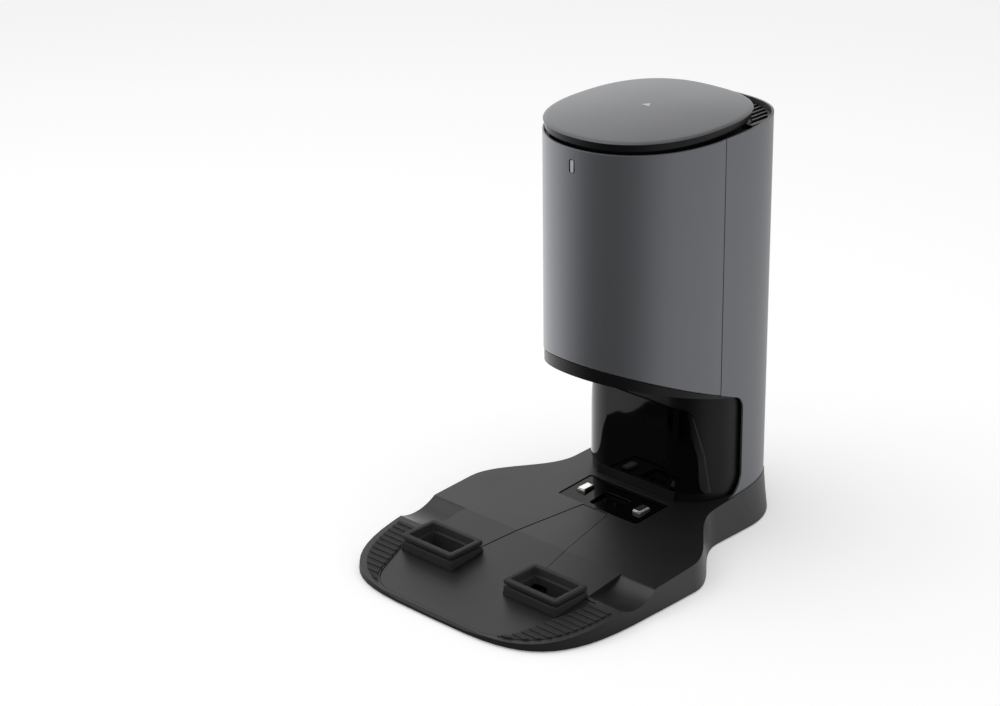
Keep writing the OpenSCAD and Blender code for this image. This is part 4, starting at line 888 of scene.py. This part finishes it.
class DOCK_OT_lid(DockOperator, bpy.types.Operator):
    """Domed lid plate with a rounded rim, its dark skirt and gasket, and the neck ring round it"""
    bl_idname = "dock.lid"
    bl_label = "Lid"

    FRONT_N, REAR_N = 2.26, 2.5             # squareness of the plan, 2 for an ellipse
    DROP, CROWN = 1.1 * MM, 5.4 * MM        # height of the rim's roll, and of the dome over the rim
    FOOT = ((4 * MM, 0), (1.2 * MM, 0), (0.4 * MM, 0.12 * MM))      # inset and height of the lower edge
    ROUND, STEPS = 360 - 1.5, 239           # the plan's last point, in degrees, and its steps

    def build(self, sizes, context):
        lo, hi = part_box("lid_plate")
        hw, front, rear = hi.x, SEAM_Y - lo.y, hi.y - SEAM_Y
        roll = sizes.lid_edge / hw
        edge_top = hi.z - self.CROWN

        def plan(inset):
            return egg(hw - inset, front - inset, self.FRONT_N, rear - inset, self.REAR_N, SEAM_Y,
                       0, self.ROUND, self.STEPS)

        def dome(s, sink=0.0):
            z = edge_top + self.CROWN * (1 - s * s) - sink
            return [(x * s, SEAM_Y + (y - SEAM_Y) * s, z) for x, y in plan(0)]

        rings = [[(x, y, lo.z + z) for x, y in plan(inset)] for inset, z in self.FOOT]
        for degrees in range(0, 91, 10):
            t = math.radians(degrees)
            rings.append(dome(1 - roll * (1 - math.cos(t)), self.DROP * (1 - math.sin(t))))
        count, inner, bunching = 25, 0.92, 1.2      # rings from the roll in to the small middle face
        for k in range(1, count + 1):
            rings.append(dome(1 - roll - inner * (k / count) ** bunching))
        mesh = loft("lid_skin", rings, capped=True)
        smooth(mesh, 50)
        piece("lid_skin", mesh, "lid", "lid_metallic", ["lid_plate"])
        ease("lid_skirt", 0.5, "dark_plastic")
        ease("lid_gasket", 0.5, "rubber_black")
        ease("neck_ring", 0.5, "dark_plastic")


# ------------------------------------------------------------------ ramp plate

class DOCK_OT_plate(DockOperator, bpy.types.Operator):
    """Ramp plate and its inlay with eased edges"""
    bl_idname = "dock.plate"
    bl_label = "Ramp plate"

    def build(self, sizes, context):
        ease("base_cover", sizes.plate_edge / MM, "deck_plastic", "plate_skin", segments=3, angle=38,
             split=32, flats=True)
        ease("ramp_inlay", 0.8, "deck_plastic", "inlay_skin", split=32, flats=True)


# ------------------------------------------------------------------ what repeats, by Geometry Nodes

def group(name, sockets):
    """An empty Geometry Nodes tree that takes a base mesh and named values."""
    tree = bpy.data.node_groups.new(name, "GeometryNodeTree")
    tree.interface.new_socket("Geometry", in_out="OUTPUT", socket_type="NodeSocketGeometry")
    tree.interface.new_socket("Base", in_out="INPUT", socket_type="NodeSocketGeometry")
    for label, kind in sockets:
        tree.interface.new_socket(label, in_out="INPUT", socket_type="NodeSocket" + kind)
    return tree, add(tree, "NodeGroupInput"), add(tree, "NodeGroupOutput")


def close_tree(tree, given, out, shape):
    """Ends a tree: real geometry in the given material."""
    real = add(tree, "GeometryNodeRealizeInstances", i0=shape)
    dressed = add(tree, "GeometryNodeSetMaterial", Geometry=real.outputs[0],
                  Material=given.outputs["Material"])
    tree.links.new(dressed.outputs[0], out.inputs[0])


def grown(name, tree, verts, edges, values):
    """The plain mesh that a Geometry Nodes tree makes of points or paths."""
    mesh = bpy.data.meshes.new(name)
    mesh.from_pydata(verts, edges, [])
    obj = linked(mesh, name)
    modifier = obj.modifiers.new("nodes", "NODES")
    modifier.node_group = tree
    keys = {item.name: item.identifier for item in tree.interface.items_tree
            if item.item_type == "SOCKET" and item.in_out == "INPUT"}
    for label, value in values.items():
        modifier[keys[label]] = value
    return take_mesh(obj)


def bar_tree():
    """Bars with rounded corners, swept along the base mesh's edges."""
    tree, given, out = group("Rounded bars", (("Width", "Float"), ("Height", "Float"),
                                              ("Corner", "Float"), ("Material", "Material")))
    line = add(tree, "GeometryNodeMeshToCurve", Mesh=given.outputs["Base"])
    upright = add(tree, "GeometryNodeSetCurveNormal", {"mode": "Z_UP"}, Curve=line.outputs[0])
    section = add(tree, "GeometryNodeCurvePrimitiveQuadrilateral", Width=given.outputs["Width"],
                  Height=given.outputs["Height"])
    soft = add(tree, "GeometryNodeFilletCurve", {"mode": "POLY", "Count": 3}, Curve=section.outputs[0],
               Radius=given.outputs["Corner"])
    sweep = add(tree, "GeometryNodeCurveToMesh", {"Fill Caps": True}, Curve=upright.outputs[0],
                Profile_Curve=soft.outputs[0])
    close_tree(tree, given, out, sweep.outputs[0])
    return tree


def screw_tree():
    """Pan heads with a cross recess, one at each point of the base mesh."""
    tree, given, out = group("Screw heads", (("Radius", "Float"), ("Height", "Float"), ("Slot", "Float"),
                                             ("Material", "Material")))
    head = add(tree, "GeometryNodeMeshCylinder", {"Vertices": 28}, Radius=given.outputs["Radius"],
               Depth=given.outputs["Height"])
    slot = given.outputs["Slot"]
    length = add(tree, "ShaderNodeMath", {"operation": "MULTIPLY", "1": 1.2},
                 i0=given.outputs["Radius"]).outputs[0]
    drop = add(tree, "ShaderNodeMath", {"operation": "MULTIPLY", "1": -0.5}, i0=given.outputs["Height"])
    down = add(tree, "ShaderNodeCombineXYZ", i2=drop.outputs[0])
    cut = add(tree, "GeometryNodeMeshBoolean", {"operation": "DIFFERENCE"})
    tree.links.new(head.outputs[0], cut.inputs[0])
    for x, y in ((length, slot), (slot, length)):
        size = add(tree, "ShaderNodeCombineXYZ", i0=x, i1=y, i2=given.outputs["Height"])
        cube = add(tree, "GeometryNodeMeshCube", Size=size.outputs[0])
        bar = add(tree, "GeometryNodeTransform", Geometry=cube.outputs[0], Translation=down.outputs[0])
        tree.links.new(bar.outputs[0], cut.inputs[1])
    placed = add(tree, "GeometryNodeInstanceOnPoints", Points=given.outputs["Base"],
                 Instance=cut.outputs[0])
    close_tree(tree, given, out, placed.outputs[0])
    return tree


class DOCK_OT_vent(DockOperator, bpy.types.Operator):
    """Exhaust grille behind the lid, with a rounded bar on each land between its slots"""
    bl_idname = "dock.vent"
    bl_label = "Vent"

    SLOT = 3.2 * MM
    SHORTEST = 4 * MM           # a land that is shorter than this stays bare
    INSET = 0.4 * MM            # from a land's edges to its bar
    HEIGHT, CORNER = 1.4 * MM, 0.6 * MM

    def build(self, sizes, context):
        ease("vent_grille", 0.3, "dark_plastic", "vent_plate")
        points = [v.co for v in NODES["vent_grille"].data.vertices]
        top = max(p.z for p in points)
        land = sizes.slat_pitch - self.SLOT
        count = int(max(p.x for p in points) / sizes.slat_pitch)
        verts, edges = [], []
        for k in range(-count, count):
            x = (k + 0.5) * sizes.slat_pitch
            spans = [self.span(points, top, x + side * land / 2) for side in (-1, 1)]
            if None in spans:
                continue
            y0, y1 = max(a for a, _ in spans), min(b for _, b in spans)
            if y1 - y0 > self.SHORTEST:
                edges.append((len(verts), len(verts) + 1))
                verts += [(x, y0, top), (x, y1, top)]
        mesh = grown("vent_bars", bar_tree(), verts, edges, {
            "Width": land - 2 * self.INSET, "Height": self.HEIGHT, "Corner": self.CORNER,
            "Material": finish("dark_plastic")})
        smooth(mesh, 40)
        settle(linked(mesh, "vent_bars"), "station")

    def span(self, points, top, x):
        """How far a slot's edge runs from front to back, or None where there is no slot."""
        near, level = 0.05 * MM, 0.1 * MM       # tolerances in x and in height
        ys = [p.y for p in points if abs(p.x - x) < near and top - p.z < level]
        return (min(ys), max(ys)) if ys else None


class DOCK_OT_screws(DockOperator, bpy.types.Operator):
    """Cross-recessed screws that hold the bottom cover"""
    bl_idname = "dock.screws"
    bl_label = "Screws"

    RADIUS, HEIGHT, SLOT = 2.9 * MM, 1.2 * MM, 0.9 * MM
    APART = 7 * MM              # corners nearer together than this belong to one screw
    END = 0.1 * MM              # corners this near the lowest point lie on the heads' faces

    def build(self, sizes, context):
        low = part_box("base_screws")[0].z
        corners = [v.co for v in NODES["base_screws"].data.vertices if v.co.z < low + self.END]
        heads = []              # sum of x, sum of y and count of each screw's corners
        for co in corners:
            near = next((h for h in heads if math.hypot(h[0] / h[2] - co.x, h[1] / h[2] - co.y)
                         < self.APART), None)
            if near:
                near[:] = near[0] + co.x, near[1] + co.y, near[2] + 1
            else:
                heads.append([co.x, co.y, 1])
        verts = [(x / n, y / n, low + self.HEIGHT / 2) for x, y, n in heads]
        mesh = grown("screw_heads", screw_tree(), verts, [], {
            "Radius": self.RADIUS, "Height": self.HEIGHT, "Slot": self.SLOT, "Material": finish("steel")})
        smooth(mesh, 40)
        settle(linked(mesh, "screw_heads"), "station", ["base_screws"])


# ------------------------------------------------------------------ dust bag

class DOCK_OT_bag(DockOperator, bpy.types.Operator):
    """Dust bag of thin fleece, blown up softly by the air in it"""
    bl_idname = "dock.bag"
    bl_label = "Dust bag"

    MOUTH_BACK = 3.5 * MM                   # how far the rubber mouth stands behind the body
    SLACK = Vector((2.5, 2.5, 4)) * MM      # the body starts smaller, because the air swells it
    SQUARE = 0.62                           # plan's corners, 1 for an ellipse
    END_POWER, END_ROUND, LEAST = 7, 0.36, 0.18     # how the body draws in towards its two ends
    FOLD = 0.035                            # depth of the pleats, as a share of the half width
    ROWS, COLUMNS = 36, 96
    CELL = 5 * MM                           # size of the remeshed fleece's cells
    CAP = 5 * MM                            # furthest that the air may move a point
    FRAMES = 20

    def build(self, sizes, context):
        lo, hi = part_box("dust_bag")
        port = hi.y - self.MOUTH_BACK
        half = Vector(((hi.x - lo.x) / 2, (port - lo.y) / 2, (hi.z - lo.z) / 2)) - self.SLACK
        centre = Vector(((lo.x + hi.x) / 2, (port + lo.y) / 2, (lo.z + hi.z) / 2))
        rings = []
        for k in range(self.ROWS + 1):
            t = -1 + 2 * k / self.ROWS
            round_off = max(self.LEAST, (1 - abs(t) ** self.END_POWER) ** self.END_ROUND)
            ring = []
            for i in range(self.COLUMNS):
                a = 2 * math.pi * i / self.COLUMNS
                crease = max(0, math.cos(sizes.bag_pleats * 2 * a)) ** 4
                s = round_off * (1 - self.FOLD * crease * (1 - t * t))
                ring.append(centre + Vector((half.x * s * spow(math.cos(a), self.SQUARE),
                                             half.y * s * spow(math.sin(a), self.SQUARE), half.z * t)))
            rings.append(ring)
        obj = linked(loft("dust_bag_fleece", rings, capped=True), "dust_bag_fleece")
        remesh = obj.modifiers.new("even", "REMESH")
        remesh.mode = "VOXEL"
        remesh.voxel_size = self.CELL
        apply_modifiers(obj)
        self.inflate(obj, context.scene)
        fine = obj.modifiers.new("soft", "SUBSURF")
        fine.levels = fine.render_levels = 1
        apply_modifiers(obj)
        obj.data.shade_smooth()
        obj.data.materials.clear()
        obj.data.materials.append(finish("bag_fleece"))
        settle(obj, "station", ["dust_bag"])
        self.mouth(hi, port)
        self.seam(centre, half)

    def inflate(self, obj, scene):
        """Cloth under a little pressure, no point moving further than the cap."""
        start = [v.co.copy() for v in obj.data.vertices]
        cloth = obj.modifiers.new("cloth", "CLOTH")
        cloth.settings.use_pressure = True
        cloth.settings.uniform_pressure_force = 4
        cloth.settings.effector_weights.gravity = 0
        for number in range(1, self.FRAMES + 1):
            scene.frame_set(number)
        apply_modifiers(obj)
        scene.frame_set(1)
        for v, rest in zip(obj.data.vertices, start):
            move = v.co - rest
            if move.length > self.CAP:
                v.co = rest + move.normalized() * self.CAP

    def seam(self, centre, half):
        """Welded seam up both sides of the bag and over its top, as a thin pressed strip."""
        start, turn, steps, square = -50, 280, 72, 0.42
        strip = ((-7, -0.5), (3.0, -0.5), (3.4, 0), (3.0, 0.5), (-7, 0.5))     # out of the body, sideways
        wave, waves = 0.5 * MM, 23
        rings = []
        for i in range(steps + 1):
            a = math.radians(start + turn * i / steps)
            x, z = half.x * spow(math.cos(a), square), half.z * spow(math.sin(a), square)
            out = Vector((math.cos(a) / half.x, 0, math.sin(a) / half.z)).normalized()
            at = centre + Vector((x, wave * math.sin(a * waves), z))
            rings.append([at + out * r * MM + Vector((0, side * MM, 0)) for r, side in strip])
        mesh = loft("dust_bag_seam", rings, capped=True)
        smooth(mesh, 60)
        piece("dust_bag_seam", mesh, "station", "bag_fleece")

    def mouth(self, hi, port):
        """Rubber ring of the bag's mouth, between its body and the card."""
        face = 0.2 * MM         # points this near the back belong to the mouth's end face
        points = [v.co for v in NODES["dust_bag"].data.vertices if v.co.y > hi.y - face]
        low_x, high_x = min(p.x for p in points), max(p.x for p in points)
        x, z = (low_x + high_x) / 2, (min(p.z for p in points) + max(p.z for p in points)) / 2
        outer = (high_x - low_x) / 2
        # cross-section as millimetres in from the rim and back from the body
        section = ((6, -4.0), (6, 3.3), (5.4, 3.5), (0.6, 3.5), (0, 2.9), (0, 0.6), (0.6, 0), (2, -4.0))
        steps = 64
        turns = [2 * math.pi * i / steps for i in range(steps)]
        rings = [[(x + (outer - r * MM) * math.cos(a), port + d * MM, z + (outer - r * MM) * math.sin(a))
                  for a in turns] for r, d in section]
        mesh = loft("dust_bag_mouth", rings)
        smooth(mesh, 50)
        piece("dust_bag_mouth", mesh, "station", "rubber_black")


# ------------------------------------------------------------------ small moulded parts

class DOCK_OT_small(DockOperator, bpy.types.Operator):
    """Small parts with eased edges: panels, pads, feet, brackets and sockets"""
    bl_idname = "dock.small"
    bl_label = "Small parts"

    # width of the rounded edges in millimetres
    WIDTHS = {"contact_panel": 0.4, "contact_pad_left": 0.5, "contact_pad_right": 0.5,
              "grip_pad_left": 0.45, "grip_pad_right": 0.45, "rubber_feet": 0.5, "soffit": 0.4,
              "hinge_bracket": 0.4, "bag_holder": 0.5, "bag_collar": 0.3, "power_inlet": 0.5,
              "bottom_cover": 0.4, "top_deck": 0.3, "lid_switch": 0.3, "contact_bracket": 0.3}
    POLISHED = {"contact_panel": "black_gloss"}

    def build(self, sizes, context):
        slots = {entry["node"]: entry["material_slot"] for entry in frame["record"]["subparts"]}
        for node, width in self.WIDTHS.items():
            ease(node, width, self.POLISHED.get(node, slots[node]))


# ------------------------------------------------------------------ intake frames

class DOCK_OT_intake(DockOperator, bpy.types.Operator):
    """Rubber intake frames: rounded lip, waist and foot swept round the opening"""
    bl_idname = "dock.intake"
    bl_label = "Intake frames"
    RIM = 7.2 * MM              # from the solid's outer edge in to the opening
    # lip, waist and lower lip, from the inner foot up and down the outside again, as millimetres
    # out from the opening's wall and up from the top
    SECTION = ((0.3, -16), (0.3, -9.2), (0, -8.9), (0.3, -8.6), (2.0, -7.6), (2.3, -7.0), (2.5, -0.7),
               (2.7, -0.2), (3.1, 0), (7.4, 0), (8.0, -0.25), (8.2, -0.8), (8.2, -3.6), (8.0, -4.1),
               (7.4, -4.3), (5.4, -4.4), (5.0, -4.8), (5.0, -6.1), (5.4, -6.5), (7.4, -6.6),
               (8.0, -6.8), (8.2, -7.2), (8.2, -9.3))
    WIDE = 5.5 * MM             # what stands further out than this ends on the deck, not in the pocket
    POCKET = 1.4 * MM           # depth of the inlay's pocket under the frame
    SEAT = 1.45 * MM            # from the pocket's floor to just above the deck's face
    # square foot that lies on the deck and covers the pocket's corners: millimetres out, and lift
    FOOT = ((8.4, SEAT), (5.4, SEAT), (5.4, 0))
    FOOT_R = 1.2 * MM
    CORNER, CORNER_GAIN = 1.6 * MM, 0.16    # corner radius at the opening, and how it grows outwards
    RAMP_IN, RAMP_Z = 2.5 * MM, 6.8 * MM    # where the ramp's face starts, behind the front and up

    def build(self, sizes, context):
        for side in ("left", "right"):
            node = "intake_seal_" + side
            lo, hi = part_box(node)
            rings = []
            for out, height in self.SECTION:
                stop = self.SEAT if out * MM > self.WIDE else 0
                rings.append([(x, y, max(hi.z + height * MM, self.deck_low(y) + stop))
                              for x, y in self.plan(lo, hi, out, self.CORNER + out * MM * self.CORNER_GAIN)])
            for out, lift in self.FOOT:
                rings.append([(x, y, self.deck_low(y) + lift)
                              for x, y in self.plan(lo, hi, out, self.FOOT_R)])
            mesh = loft("intake_frame_" + side, rings)
            smooth(mesh, 50)
            piece("intake_frame_" + side, mesh, "station", "rubber_black", [node])

    def plan(self, lo, hi, out, radius):
        """Rounded rectangle at so many millimetres out from the opening's wall."""
        grow = 2 * (out * MM - self.RIM)
        return [((lo.x + hi.x) / 2 + x, (lo.y + hi.y) / 2 + y)
                for x, y in round_rect(hi.x - lo.x + grow, hi.y - lo.y + grow, radius, 8)]

    def deck_low(self, y):
        """Height just above the inlay's pocket under the frame."""
        ramp_y = CAD_BOX[0].y + self.RAMP_IN
        rise = (KNEE_Z - self.RAMP_Z) * (y - ramp_y) / (KNEE_Y - ramp_y)
        return self.RAMP_Z + rise - self.POCKET


# ------------------------------------------------------------------ dock wall and window

class DOCK_OT_window(DockOperator, bpy.types.Operator):
    """Dark wall of the recess, the glossy window wrapped round its corners and the band over it"""
    bl_idname = "dock.window"
    bl_label = "Window"

    def build(self, sizes, context):
        ease("dock_liner", 0.6, "dark_plastic", "liner_skin", angle=40)
        ease("ir_window", 0.35, "black_gloss", "window_skin", angle=40)
        ease("chin_band", 0.5, "dark_plastic", "chin_skin", angle=40)


# ------------------------------------------------------------------ panel

class DOCK_PT_panel(bpy.types.Panel):
    """Lists the station's pieces in the sidebar"""
    bl_label = "Docking station"
    bl_idname = "DOCK_PT_panel"
    bl_space_type = "VIEW_3D"
    bl_region_type = "UI"
    bl_category = "Dock"

    def draw(self, context):
        column = self.layout.column()
        for key in DockSizes.__annotations__:
            column.prop(context.scene.dock_sizes, key)
        for key in DockLight.__annotations__:
            column.prop(context.scene.dock_light, key)
        for step in STEPS:
            column.operator(step.bl_idname)


STEPS = (DOCK_OT_stage, DOCK_OT_finishes, DOCK_OT_shells, DOCK_OT_lid, DOCK_OT_plate, DOCK_OT_intake,
         DOCK_OT_window, DOCK_OT_vent, DOCK_OT_screws, DOCK_OT_bag, DOCK_OT_small)
CLASSES = (DockSizes, DockLight, *STEPS, DOCK_PT_panel)


def register():
    for cls in CLASSES:
        bpy.utils.register_class(cls)
    bpy.types.Scene.dock_sizes = PointerProperty(type=DockSizes)
    bpy.types.Scene.dock_light = PointerProperty(type=DockLight)


def unregister():
    del bpy.types.Scene.dock_light
    del bpy.types.Scene.dock_sizes
    for cls in reversed(CLASSES):
        bpy.utils.unregister_class(cls)


def main():
    register()
    for step in STEPS:
        space, name = step.bl_idname.split(".")
        getattr(getattr(bpy.ops, space), name)()


if __name__ == "__main__":
    main()
